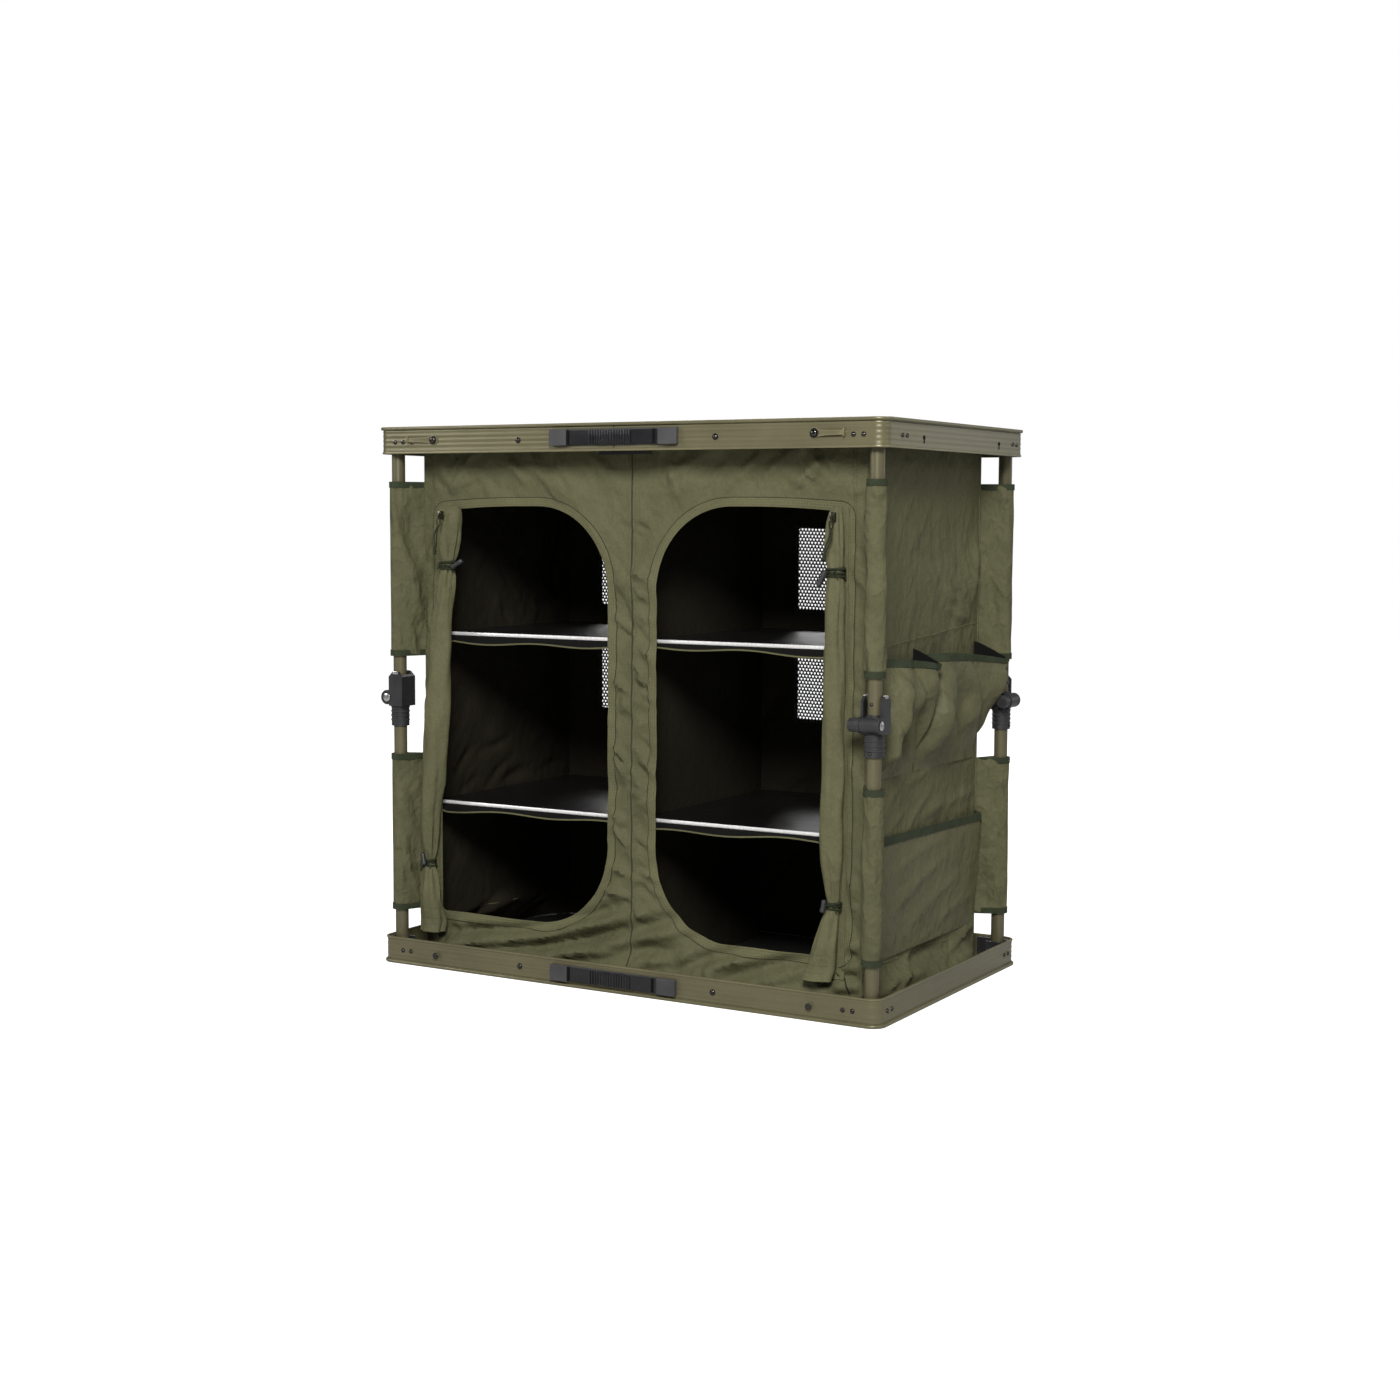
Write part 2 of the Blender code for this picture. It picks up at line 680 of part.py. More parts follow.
def make_front_panel():
    half = BODY_X - CLOTH / 2 - GAP

    def point(x, z):
        across = math.sin(math.pi * abs(x) / half)
        waves = math.sin(5 * math.pi * abs(x) / half + 9 * z) * 0.6 + math.sin(23 * z + 7 * x) * 0.4
        return (x, -BODY_Y - flare(z, half - abs(x)) + FOLD * slack(z) * across * waves, z)

    panel = sheet(spread(-half, half, 20), cloth_heights(6), point)
    cutters = []
    for side in SIDES.values():
        outline = opening_outline(side)
        cutters.append(prism(outline, -BODY_Y - OPENING_OVER, -BODY_Y + OPENING_OVER, "Y"))
    return cut(panel, *cutters)


def window_boxes(seam=0.0):
    """The left, right, bottom and top of each mesh window, by side and row."""
    rows = {"high": (WINDOW_HIGH_BOTTOM, WINDOW_HIGH_TOP), "low": (WINDOW_LOW_BOTTOM, WINDOW_LOW_TOP)}
    found = {}
    for side_name, side in SIDES.items():
        left, right = sorted((side * WINDOW_INNER, side * (WINDOW_INNER + WINDOW_WIDTH)))
        for row, (low, high) in rows.items():
            found[side_name, row] = (left - seam, right + seam, low - seam, high + seam)
    return found


def make_back_wall():
    half = BODY_X - CLOTH / 2 - GAP

    def point(x, z):
        across = math.sin(math.pi * abs(x) / half)
        waves = math.sin(4 * math.pi * abs(x) / half + 7 * z)
        folds = FOLD * slack(z) * across * waves * window_calm(x, z)
        return (x, BODY_Y + flare(z, half - abs(x)) + folds, z)

    wall = sheet(spread(-half, half, 14), cloth_heights(4), point)
    cutters = []
    for left, right, low, high in window_boxes().values():
        cutters.append(box((left, BODY_Y - OPENING_OVER, low), (right, BODY_Y + OPENING_OVER, high)))
    return cut(wall, *cutters)


def window_calm(x, z):
    """0 on and close round a mesh window, where its seam keeps the wall flat, and 1 well away from it."""
    nearest = 1.0
    for left, right, low, high in window_boxes(seam=WINDOW_FLAT).values():
        away = max(left - x, x - right, low - z, z - high, 0)
        nearest = min(nearest, away / WINDOW_CALM)
    return nearest


def make_divider():
    front = -BODY_Y + CLOTH / 2 + GAP
    back = BODY_Y - CLOTH / 2 - GAP

    def point(y, z):
        across = math.sin(math.pi * (y - front) / (back - front))
        return (FOLD * 0.6 * slack(z) * across * math.sin(30 * y + 12 * z), y, z)

    return sheet(spread(front, back, 6), cloth_heights(3), point)


def make_pocket(low, high, front, back, gape_front, gape_back, gape_low, steps=5):
    """A solid bulge on the right wall, flat behind, standing out most at its rim."""
    inside = BODY_X

    def point(y, z):
        rise = (z - low) / (high - low)
        along = (y - front) / (back - front)
        swell = math.sin(math.pi * along) ** 0.5 if 0 < along < 1 else 0.0
        gape = gape_front + (gape_back - gape_front) * along
        return (inside + gape_low + (gape - gape_low) * rise**1.5 * (0.45 + 0.55 * swell), y, z)

    outer = grid(spread(front, back, steps), spread(low, high, steps), point)
    shape = bmesh.new()
    shape.from_mesh(outer.data)
    extruded = bmesh.ops.extrude_face_region(shape, geom=list(shape.faces))
    for part in extruded["geom"]:
        if isinstance(part, bmesh.types.BMVert):
            part.co.x = inside
    shape.to_mesh(outer.data)
    shape.free()
    return facing_out(outer, triangles=True)


def make_side_wall(side):
    """The wall of one side, with its pockets and the four wings whose sleeves wrap the leg tubes."""
    back_edge = BODY_Y + CLOTH / 2

    def point(y, z):
        across = math.cos(math.pi * y / (2 * back_edge))
        waves = math.sin(26 * y + 9 * z) * 0.6 + math.sin(17 * z - 31 * y) * 0.4
        free = min(max(z - POCKET_TOP, 0) / POCKET_CALM, 1)
        return (BODY_X + flare(z, back_edge - abs(y)) + FOLD * slack(z) * across * waves * free, y, z)

    wall = sheet(spread(-back_edge, back_edge, 10), cloth_heights(4), point)
    front = -BODY_Y + POCKET_EDGE
    back = BODY_Y - POCKET_EDGE
    split = POCKET_SPLIT / 2
    rows = (POCKET_BOTTOM, POCKET_TOP)
    flat_rows = (FLAT_POCKET_BOTTOM, FLAT_POCKET_TOP)
    gapes = (POCKET_FRONT_GAPE, POCKET_FRONT_GAPE, POCKET_LOW_GAPE)
    back_gapes = (POCKET_FRONT_GAPE, POCKET_BACK_GAPE, POCKET_LOW_GAPE)
    pockets = [
        make_pocket(*rows, front, POCKET_MIDDLE_Y - split, *gapes),
        make_pocket(*rows, POCKET_MIDDLE_Y + split, back, *back_gapes),
        make_pocket(*flat_rows, front, back, *[FLAT_POCKET_DEPTH] * 3, steps=2),
    ]
    wings = []
    bores = []
    ring = TUBE_RADIUS + SLEEVE_PLAY
    spans = (
        (SLEEVE_FROM_RAIL, KNEE_Z - SLEEVE_UNDER_KNEE),
        (KNEE_Z + SLEEVE_OVER_KNEE, HEIGHT - SLEEVE_FROM_RAIL),
    )
    for end in (-1, 1):
        for low, high in spans:
            length = BODY_INSET * math.sqrt(2) - ring
            strip = box((0, -SLEEVE_WALL / 2, low + GAP), (length, SLEEVE_WALL / 2, high - GAP))
            strip.data.transform(Matrix.Rotation(end * math.pi / 4, 4, "Z"))
            wings.append(lifted(strip, x=BODY_X, y=end * BODY_Y))
            leg = (LEG_X, end * LEG_Y)
            wings.append(cylinder(ring + SLEEVE_WALL, (*leg, low), (*leg, high)))
            bores.append(cylinder(ring, (*leg, low - BORE_OVER), (*leg, high + BORE_OVER)))
    solid = cut(united(wall, *pockets, *wings), *bores)
    return mirrored(solid, x=side)


def make_sling(side, top):
    """The cloth tray under one shelf board, with a hem that hangs in waves at the front."""
    under = top - BOARD_THICK - GAP - CLOTH / 2
    inner = CLOTH / 2 + 2 * GAP
    outer = BODY_X - CLOTH / 2 - 2 * GAP
    front = -BODY_Y + FOLD + CLOTH + 4 * GAP
    back = BODY_Y - BOARD_BACK_GAP
    rows = [front, front + SLING_CURVE * 0.4, front + SLING_CURVE] + spread(-BODY_Y + BOARD_FRONT_GAP, back, 1)

    def point(x, y):
        hang = {rows[0]: 1.0, rows[1]: 0.8, rows[2]: 0.35}.get(y, 0.0)
        wave = 0.62 + 0.38 * math.sin(42 * x + 60 * top)
        return (side * x, y, under - SLING_HEM * hang * wave)

    return sheet(spread(inner, outer, 10), rows, point)


def make_board(side):
    left = CLOTH / 2 + BOARD_SIDE_GAP
    right = BODY_X - CLOTH / 2 - BOARD_SIDE_GAP
    front = -BODY_Y + BOARD_FRONT_GAP
    back = BODY_Y - BOARD_BACK_GAP
    outline = rounded_rectangle((right - left) / 2, (back - front) / 2, BOARD_CORNER, steps=4)
    board = prism(outline, -BOARD_THICK, 0)
    return lifted(board, x=side * (left + right) / 2, y=(front + back) / 2)


def roll_inset(side_name, height):
    end, low, high = ROLL_INSETS[side_name]
    if height < TIE_LOW:
        return low + (end - low) * (TIE_LOW - height) / (TIE_LOW - ROLL_BOTTOM)
    return low + (high - low) * min((height - TIE_LOW) / (TIE_HIGH - TIE_LOW), 1)


def make_roll(side_name):
    """A door rolled to the outer edge of its opening, drawn in at its two ties."""
    top = HEIGHT - ROLL_TOP_DOWN
    heights = [top, top - ROLL_SHOULDER / 4, top - ROLL_SHOULDER, TIE_HIGH]
    heights += spread(TIE_HIGH - TIE_PINCH, TIE_LOW + TIE_PINCH, 4)
    heights += [TIE_LOW, TIE_LOW - TIE_PINCH * 0.7, ROLL_BOTTOM + ROLL_SHOULDER / 2, ROLL_BOTTOM]
    girths = [0.45, 0.9, 1.0, 0.68, 0.95, 1.0, 0.98, 0.95, 0.85, 0.5, 0.95, 1.3, 1.35]
    curve = bpy.data.curves.new("roll", "CURVE")
    curve.dimensions = "3D"
    curve.bevel_depth = ROLL_RADIUS
    curve.bevel_resolution = 2
    curve.use_fill_caps = True
    spline = curve.splines.new("POLY")
    spline.points.add(len(heights) - 1)
    for point, height, girth in zip(spline.points, heights, girths):
        middle = SIDES[side_name] * (BODY_X - roll_inset(side_name, height))
        forward = flare(height - ROLL_CLEAR, FLARE_CORNER)
        depth = -ROLL_RADIUS * girth - forward / ROLL_FLATTEN
        point.co = (middle, depth, height, 1)
        point.radius = girth
    roll = baked(object_of(curve))
    roll.data.transform(Matrix.Diagonal((1, ROLL_FLATTEN, 1, 1)))
    return lifted(roll, y=-BODY_Y - CLOTH / 2 - ROLL_STAND_OFF[side_name])


def make_cupboard():
    root = empty("cupboard", (0, SHIFT_Y, 0))
    first_corner = CORNER_PLACES[CORNERS[0]]
    top = empty("top_pivot", (*first_corner, HEIGHT - PIVOT_RISE), root)

    def on_top(solid, x=0.0, y=0.0, z=0.0):
        solid.location = Vector((x, y, z)) - top.location
        return solid

    rail = make_rail()
    panel = make_panel()
    flipped_rail = lifted(mirrored(object_of(rail.data.copy()), z=-1), z=HEIGHT)
    flipped_panel = lifted(mirrored(object_of(panel.data.copy()), z=-1), z=HEIGHT)
    finished(rail, "base_rail", "rail_paint", root)
    finished(panel, "base_panel", "base_board", root)
    on_top(finished(flipped_rail, "top_rail", "rail_paint", top))
    on_top(finished(flipped_panel, "top_panel", "worktop", top))

    bracket = make_bracket()
    flipped_bracket = mirrored(object_of(bracket.data.copy()), z=-1)
    tube_top = KNEE_Z - SOCKET_FLOOR - GAP
    lower_tube = lifted(make_tube(PIVOT_RISE - TUBE_TAIL, tube_top, PIVOT_RISE), z=-PIVOT_RISE)
    tube_low = COLLAR_FLOOR + GAP
    upper_pivot = HEIGHT - PIVOT_RISE - KNEE_Z
    upper_tube = lifted(make_tube(tube_low, upper_pivot + TUBE_TAIL, upper_pivot), x=KNEE_OFFSET)
    lower_knuckle = lifted(make_lower_knuckle(), z=KNEE_Z - PIVOT_RISE)
    upper_knuckle = lifted(make_upper_knuckle(), x=KNEE_OFFSET)
    knuckle_pin = lifted(make_knuckle_pin(), z=KNEE_Z - PIVOT_RISE)
    patterns = {
        "base_bracket": (bracket, "black_plastic"),
        "top_bracket": (flipped_bracket, "black_plastic"),
        "lower_tube": (lower_tube, "rail_paint"),
        "upper_tube": (upper_tube, "rail_paint"),
        "lower_knuckle": (lower_knuckle, "black_plastic"),
        "upper_knuckle": (upper_knuckle, "black_plastic"),
        "knuckle_pin": (knuckle_pin, "bright_steel"),
    }
    for pattern, (solid, material) in patterns.items():
        finished(solid, pattern, material)
    for turns, corner in enumerate(CORNERS):
        place = CORNER_PLACES[corner]
        base_corner = empty(f"base_corner_{corner}", (*place, 0), root, turns)
        lower_pivot = empty(f"lower_pivot_{corner}", (0, 0, PIVOT_RISE), base_corner)
        knee = empty(f"knee_{corner}", (-KNEE_OFFSET, 0, KNEE_Z - PIVOT_RISE), lower_pivot)
        top_corner = empty(f"top_corner_{corner}", (*place, HEIGHT), top, turns)
        on_top(top_corner, *place, HEIGHT)
        parents = {
            "base_bracket": base_corner,
            "top_bracket": top_corner,
            "lower_tube": lower_pivot,
            "lower_knuckle": lower_pivot,
            "knuckle_pin": lower_pivot,
            "upper_tube": knee,
            "upper_knuckle": knee,
        }
        for pattern, (solid, _) in patterns.items():
            copied(solid, f"{pattern}_{corner}", parents[pattern])
    for solid, _ in patterns.values():
        bpy.data.objects.remove(solid, do_unlink=True)

    middle = RAIL_HEIGHT / 2
    plate = finished(make_handle_plate(), "base_handle_plate", "black_plastic", root)
    plate.location = (0, -RAIL_FACE_Y, middle)
    grip = finished(make_handle_grip(), "base_handle_grip", "grip_rubber", root)
    grip.location = (0, -RAIL_FACE_Y, middle)
    on_top(copied(plate, "top_handle_plate", top), 0, -RAIL_FACE_Y, HEIGHT - middle)
    on_top(copied(grip, "top_handle_grip", top), 0, -RAIL_FACE_Y, HEIGHT - middle)

    for name, side in SIDES.items():
        latch = finished(make_latch(side), f"latch_{name}", "rail_paint", top)
        on_top(latch, side * LATCH_X, -RAIL_FACE_Y, HEIGHT - middle)
        stud = finished(make_stud(), f"latch_stud_{name}", "bright_steel", root)
        stud.location = (side * LATCH_X, -RAIL_FACE_Y, middle)
        for row, height in (("upper", SHELF_HIGH), ("lower", SHELF_LOW)):
            board = finished(make_board(side), f"shelf_board_{row}_{name}", "shelf_board", root)
            board.location = (0, 0, height)
            sling = make_sling(side, height)
            finished(sling, f"shelf_sling_{row}_{name}", "olive_cloth", root)
        finished(make_side_wall(side), f"side_wall_{name}", "olive_cloth", root)
        finished(make_roll(name), f"door_roll_{name}", "olive_cloth", root)
    finished(make_front_panel(), "front_panel", "olive_cloth", root)
    finished(make_back_wall(), "back_wall", "olive_cloth", root)
    finished(make_divider(), "divider", "black_cloth", root)
    net_y = BODY_Y - CLOTH / 2 - GAP
    for (name, row), (left, right, low, high) in window_boxes(WINDOW_SEAM).items():
        net = box((left, net_y - MESH_THICK, low), (right, net_y, high))
        finished(net, f"mesh_window_{row}_{name}", "black_mesh", root)


make_cupboard()
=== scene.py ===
"""Looks of the folding tent storage cupboard: cloth, seams, ties, rails, finishes, light and camera.

Metres, in the part's own frame: +Z up, the front faces -Y and X is the width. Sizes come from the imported
model's boxes and from the named values below.
"""

import math
import random

import bmesh
import bpy
import numpy as np
from mathutils import Matrix, Vector, noise
from mathutils.geometry import delaunay_2d_cdt


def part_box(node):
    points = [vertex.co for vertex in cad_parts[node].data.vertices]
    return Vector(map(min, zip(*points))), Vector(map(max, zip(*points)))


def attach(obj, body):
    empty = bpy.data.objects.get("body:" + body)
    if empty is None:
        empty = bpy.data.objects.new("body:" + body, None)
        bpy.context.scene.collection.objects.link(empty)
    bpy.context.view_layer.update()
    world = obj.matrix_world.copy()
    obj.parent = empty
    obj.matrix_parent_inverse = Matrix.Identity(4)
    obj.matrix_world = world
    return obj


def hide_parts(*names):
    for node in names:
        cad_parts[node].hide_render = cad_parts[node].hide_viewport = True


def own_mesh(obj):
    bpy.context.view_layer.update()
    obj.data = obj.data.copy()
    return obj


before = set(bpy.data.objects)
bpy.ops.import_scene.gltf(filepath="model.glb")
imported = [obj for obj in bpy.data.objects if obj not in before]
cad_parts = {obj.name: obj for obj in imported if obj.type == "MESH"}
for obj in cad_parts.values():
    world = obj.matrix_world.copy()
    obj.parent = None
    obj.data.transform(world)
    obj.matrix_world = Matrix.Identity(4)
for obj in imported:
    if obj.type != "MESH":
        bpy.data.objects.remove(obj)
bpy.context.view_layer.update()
RANDOM = random.Random(11)

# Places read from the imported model
BASE_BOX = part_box("base_rail")
TUBE_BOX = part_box("lower_tube_front_right")
BACK_TUBE_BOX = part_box("lower_tube_back_right")
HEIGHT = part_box("top_rail")[1].z
RAIL_HEIGHT = BASE_BOX[1].z - BASE_BOX[0].z
LIP_X = BASE_BOX[1].x
LIP_Y = (BASE_BOX[1].y - BASE_BOX[0].y) / 2
MIDDLE_Y = (BASE_BOX[1].y + BASE_BOX[0].y) / 2
LEG_X = (TUBE_BOX[0].x + TUBE_BOX[1].x) / 2
LEG_Y = (BACK_TUBE_BOX[0].y + BACK_TUBE_BOX[1].y) / 2 - MIDDLE_Y
BODY_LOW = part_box("divider")[0].z
BODY_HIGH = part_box("divider")[1].z
SHELVES = {"lower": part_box("shelf_board_lower_right"), "upper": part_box("shelf_board_upper_right")}
KNEE_Z = HEIGHT / 2

# Rail extrusion and its fittings
LIP_PROUD = 0.003
LIP_BEAD = 0.0042
RIM_PROUD = 0.0012
RIM_BEAD = 0.0026
RAIL_WALL = 0.002
RAIL_CORNER = 0.017
FLANGE_WIDTH = 0.008
FLANGES = (0.0, 0.0015, 0.0071, 0.0086)
FLUTES = 4
FLUTE_DEPTH = 0.0003
FACE_X = LIP_X - LIP_PROUD
FACE_Y = LIP_Y - LIP_PROUD
RIVET_RADIUS = 0.0026
BIG_RIVET_RADIUS = 0.0034
LATCH_FROM_SIDE = 0.098
KNEE_PIN_OUT = 0.0125

# Fabric body
CLOTH = 0.0012
BODY_INSET = 0.0265
BODY_X = LEG_X - BODY_INSET
BODY_Y = LEG_Y - BODY_INSET
TUBE_RADIUS = 0.0095
FLARE = 0.028
FLARE_HEIGHT = 0.048
FLARE_CORNER = 0.060
OPENING_INNER = 0.038
OPENING_OUTER = BODY_X - 0.027
OPENING_LOW = 0.074
OPENING_HIGH = HEIGHT - 0.110
OPENING_ARCH = 0.115
OPENING_CORNER = 0.008
OPENING_DROOP = 0.007
HEM = 0.0105
FOLDS = 2.6
STEP = 0.0047
SLEEVE_SPANS = ((0.077, KNEE_Z - 0.082), (KNEE_Z + 0.060, HEIGHT - 0.077))
SLEEVE_PLAY = 0.0021
SLEEVE_WALL = 0.0011
BINDING = 0.0085
BAND_THICK = 0.0011
BAND_CROWN = 0.0004
STITCH_LIFT = 0.0008
STITCH_STEP = 0.004
SEAM_STEP = 0.006
POCKET_OFF = 0.0016
THIN_CLOTH = 0.0010
ROD_SIDES = 6

# Windows in the back wall, as left, right, bottom and top of the right column's
WINDOWS = {"high": (0.061, 0.288, 0.508, 0.629), "low": (0.061, 0.288, 0.344, 0.450)}
WINDOW_CORNER = 0.003
WINDOW_HEM = 0.009
NET_SEAM = 0.005
NET_PITCH = 0.0056

# Rolled doors
ROLL_RADIUS = 0.0155
ROLL_CORE = 0.0062
ROLL_FLATTEN = 0.68
ROLL_TURNS = 4
ROLL_TOP = HEIGHT - 0.112
ROLL_BOTTOM = 0.048
# How far in from the side wall at the lower end, lower tie and upper tie, and how much further at the top
ROLL_INSETS = {"left": (0.0225, 0.0095, 0.0465), "right": (0.0560, 0.0375, 0.0385)}
ROLL_LEANS = {"left": 0.011, "right": 0.001}
DOOR_SEAM = 0.003
TIE_HIGH = 0.575
TIE_LOW = 0.145
PULL_LENGTH = 0.034

# Side pockets and the seam above them
POCKET_HIGH = 0.464
POCKET_LOW = 0.306
POCKET_SPLIT = -0.042
POCKET_BACK = 0.168
GUSSET = 0.008
FLAT_POCKET_HIGH = 0.228
FLAT_POCKET_LOW = 0.066
WALL_SEAM = 0.486

SIDES = {"left": -1, "right": 1}

# Camera, from the photograph's perspective
PHOTO_WIDTH = 1400
CAMERA_PLACE = (1.4962, MIDDLE_Y - 2.5797, 0.6450)
CAMERA_TURN = 30.123
CAMERA_DOWN = 5.026
CAMERA_ROLL = 0.252
CAMERA_FOCAL_PIXELS = 2079.9
SENSOR = 36.0


def spread(low, high, steps):
    """Evenly spaced values from low to high, both included."""
    return [low + (high - low) * i / steps for i in range(steps + 1)]


# Materials
def new_material(name):
    """A material, its node tree, its shader and the piece's own coordinates."""
    made = bpy.data.materials.new(name)
    made.use_nodes = True
    tree = made.node_tree
    place = add(tree, "ShaderNodeTexCoord").outputs["Object"]
    return made, tree, tree.nodes["Principled BSDF"], place


def add(tree, kind, inputs=None, **settings):
    """A node with its settings, and its inputs set or linked."""
    made = tree.nodes.new(kind)
    for key, value in settings.items():
        setattr(made, key, value)
    for key, value in (inputs or {}).items():
        if isinstance(value, bpy.types.NodeSocket):
            tree.links.new(value, made.inputs[key])
        else:
            made.inputs[key].default_value = value
    return made


def math_node(tree, operation, a, b=0.0):
    return add(tree, "ShaderNodeMath", {0: a, 1: b}, operation=operation).outputs[0]


def weighted(tree, *terms):
    """The sum of values, each times its weight."""
    total = 0.0
    for value, weight in terms:
        inputs = {0: value, 1: weight, 2: total}
        total = add(tree, "ShaderNodeMath", inputs, operation="MULTIPLY_ADD").outputs[0]
    return total


def remapped(tree, value, start, end, low, high):
    return add(tree, "ShaderNodeMapRange", {0: value, 1: start, 2: end, 3: low, 4: high}).outputs[0]


def ramp(tree, value, *stops):
    """A colour ramp over a value, with two (place, colour) stops."""
    made = add(tree, "ShaderNodeValToRGB", {0: value})
    for element, (place, colour) in zip(made.color_ramp.elements, stops):
        element.position = place
        element.color = (*colour, 1)
    return made.outputs[0]


def shade(colour, factor):
    return tuple(channel * factor for channel in colour)


def tinted(tree, value, colour, *stops):
    """A colour that changes with a value, with two (place, factor) stops."""
    return ramp(tree, value, *((place, shade(colour, factor)) for place, factor in stops))


def noise_of(tree, place, scale, detail=3.0, rough=0.55):
    """Noise of a scale, or of one along each axis."""
    if isinstance(scale, tuple):
        place = add(tree, "ShaderNodeMapping", {"Vector": place, "Scale": scale}).outputs[0]
        scale = 1.0
    inputs = {"Vector": place, "Scale": scale, "Detail": detail, "Roughness": rough}
    return add(tree, "ShaderNodeTexNoise", inputs).outputs["Fac"]


def waves(tree, place, pitch, weights):
    """-1 to 1 across threads: a sine of the weighted sum of the coordinates, one wave per pitch."""
    axes = add(tree, "ShaderNodeSeparateXYZ", {0: place}).outputs
    terms = [(axes[i], weight * 2 * math.pi / pitch) for i, weight in enumerate(weights) if weight]
    return math_node(tree, "SINE", weighted(tree, *terms))


def rubbed(tree, tint, start, end, amount, bare):
    """A tint worn to a bare colour along hard edges, between two values of their pointiness."""
    edge = add(tree, "ShaderNodeNewGeometry").outputs["Pointiness"]
    share = math_node(tree, "MULTIPLY", remapped(tree, edge, start, end, 0.0, 1.0), amount)
    worn = {0: share, 6: tint, 7: (*bare, 1)}
    return add(tree, "ShaderNodeMix", worn, data_type="RGBA").outputs[2]


def finish(tree, shader, tint, rough, relief, sockets):
    """Link a look's tint, its roughness and relief, and set plain values on the shader's own sockets.

    rough is a value and the roughness at its 0 and 1, relief a height and its strength and depth.
    """
    value, low, high = rough
    height, strength, depth = relief
    inputs = {"Height": height, "Strength": strength, "Distance": depth}
    tree.links.new(tint, shader.inputs["Base Color"])
    tree.links.new(remapped(tree, value, 0.0, 1.0, low, high), shader.inputs["Roughness"])
    tree.links.new(add(tree, "ShaderNodeBump", inputs).outputs[0], shader.inputs["Normal"])
    for name, number in sockets.items():
        shader.inputs[name].default_value = number


def cloth_material(name, colour, sheen=0.04, roughness=0.72, pitch=0.0011, weave=0.5, crumple=1.5):
    """Plain weave with slubs, soft creases and a little fading."""
    made, tree, shader, place = new_material(name)
    cross = math_node(tree, "MULTIPLY", *(waves(tree, place, pitch, axes) for axes in ((1, 1, 0), (0, 0, 1))))
    cloud = noise_of(tree, place, 9.0, 5.0)
    fine = noise_of(tree, place, 75.0, 4.0, 0.6)
    slub = noise_of(tree, place, (260, 260, 1400), 2.0)
    heather = noise_of(tree, place, (420, 420, 260), 2.0, 0.7)
    soft_folds = noise_of(tree, place, (20, 20, 14), 3.0, 0.5)
    crest = math_node(tree, "ABSOLUTE", math_node(tree, "SUBTRACT", soft_folds, 0.5))
    fade = weighted(tree, (cloud, 0.45), (slub, 0.2), (heather, 0.35))
    tint = tinted(tree, fade, colour, (0.30, 0.74), (0.70, 1.26))
    threads = {0: 1.0, 6: tint, 7: remapped(tree, cross, -1.0, 1.0, 0.84, 1.04)}
    woven = add(tree, "ShaderNodeMix", threads, data_type="RGBA", blend_type="MULTIPLY").outputs[2]
    relief = weighted(tree, (fine, 1.0), (cross, 0.05 * weave), (crest, -7.0 * crumple))
    sockets = {"Sheen Weight": sheen, "Sheen Roughness": 0.45, "Specular IOR Level": 0.16}
    sockets["Sheen Tint"] = (*shade(colour, 5.0), 1)
    finish(tree, shader, woven, (cloud, roughness - 0.08, roughness + 0.08), (relief, 0.7, 0.0019), sockets)
    return made


def ribbed_material(name, colour):
    """Grosgrain binding, with ribs across its length."""
    made, tree, shader, place = new_material(name)
    ribs = waves(tree, place, 0.0016, (1, 1, 0.25))
    cloud = noise_of(tree, place, 40.0)
    tint = tinted(tree, weighted(tree, (ribs, 0.25), (cloud, 1.0)), colour, (0.25, 0.6), (0.8, 1.4))
    finish(tree, shader, tint, (cloud, 0.68, 0.84), (ribs, 0.6, 0.0004), {"Specular IOR Level": 0.2})
    return made


def net_material():
    """Black net: round holes in staggered rows, with light passing through them."""
    made, tree, shader, place = new_material("net")
    wave = NET_PITCH * math.sqrt(3) / 2
    headings = [0.5 + math.pi / 3 * turn for turn in range(3)]
    rows = [waves(tree, place, wave, (math.cos(a), 0, math.sin(a))) for a in headings]
    holes = weighted(tree, (rows[0], 1.0), (rows[1], -1.0), (rows[2], 1.0))
    tree.links.new(math_node(tree, "LESS_THAN", holes, 0.35), shader.inputs["Alpha"])
    grain = noise_of(tree, place, 900.0)
    tint = ramp(tree, grain, (0.3, (0.010, 0.010, 0.010)), (0.7, (0.035, 0.034, 0.032)))
    finish(tree, shader, tint, (grain, 0.6, 0.8), (holes, 0.4, 0.0004), {})
    return made


def paint_material(name, colour, roughness=0.36, metallic=0.55, along=(6, 6, 900)):
    """Satin paint over drawn aluminium: fine lines along the length, rubbed edges, faint dust."""
    made, tree, shader, place = new_material(name)
    lines = noise_of(tree, place, along, 4.0, 0.6)
    cloud = noise_of(tree, place, 14.0, 4.0)
    grain = noise_of(tree, place, 1500.0, 2.0)
    value = weighted(tree, (lines, 0.55), (cloud, 0.45))
    tint = tinted(tree, value, colour, (0.30, 0.80), (0.70, 1.22))
    worn = rubbed(tree, tint, 0.52, 0.60, math_node(tree, "MULTIPLY", cloud, 0.7), shade(colour, 2.3))
    relief = weighted(tree, (lines, 0.8), (grain, 0.3))
    ends = (value, roughness - 0.08, roughness + 0.12)
    finish(tree, shader, worn, ends, (relief, 0.25, 0.0003), {"Metallic": metallic})
    return made


def plastic_material(name, colour, roughness=0.42, grain=1100.0, strength=0.25, shine=0.5):
    """Moulded plastic with a fine spark-eroded grain and scuffed edges."""
    made, tree, shader, place = new_material(name)
    fine = noise_of(tree, place, grain, 2.0)
    cloud = noise_of(tree, place, 30.0, 4.0)
    tint = tinted(tree, cloud, colour, (0.3, 0.8), (0.7, 1.25))
    worn = rubbed(tree, tint, 0.53, 0.62, 0.5, shade(colour, 3.2))
    ends = (cloud, roughness - 0.1, roughness + 0.12)
    finish(tree, shader, worn, ends, (fine, strength, 0.0003), {"Specular IOR Level": shine})
    return made


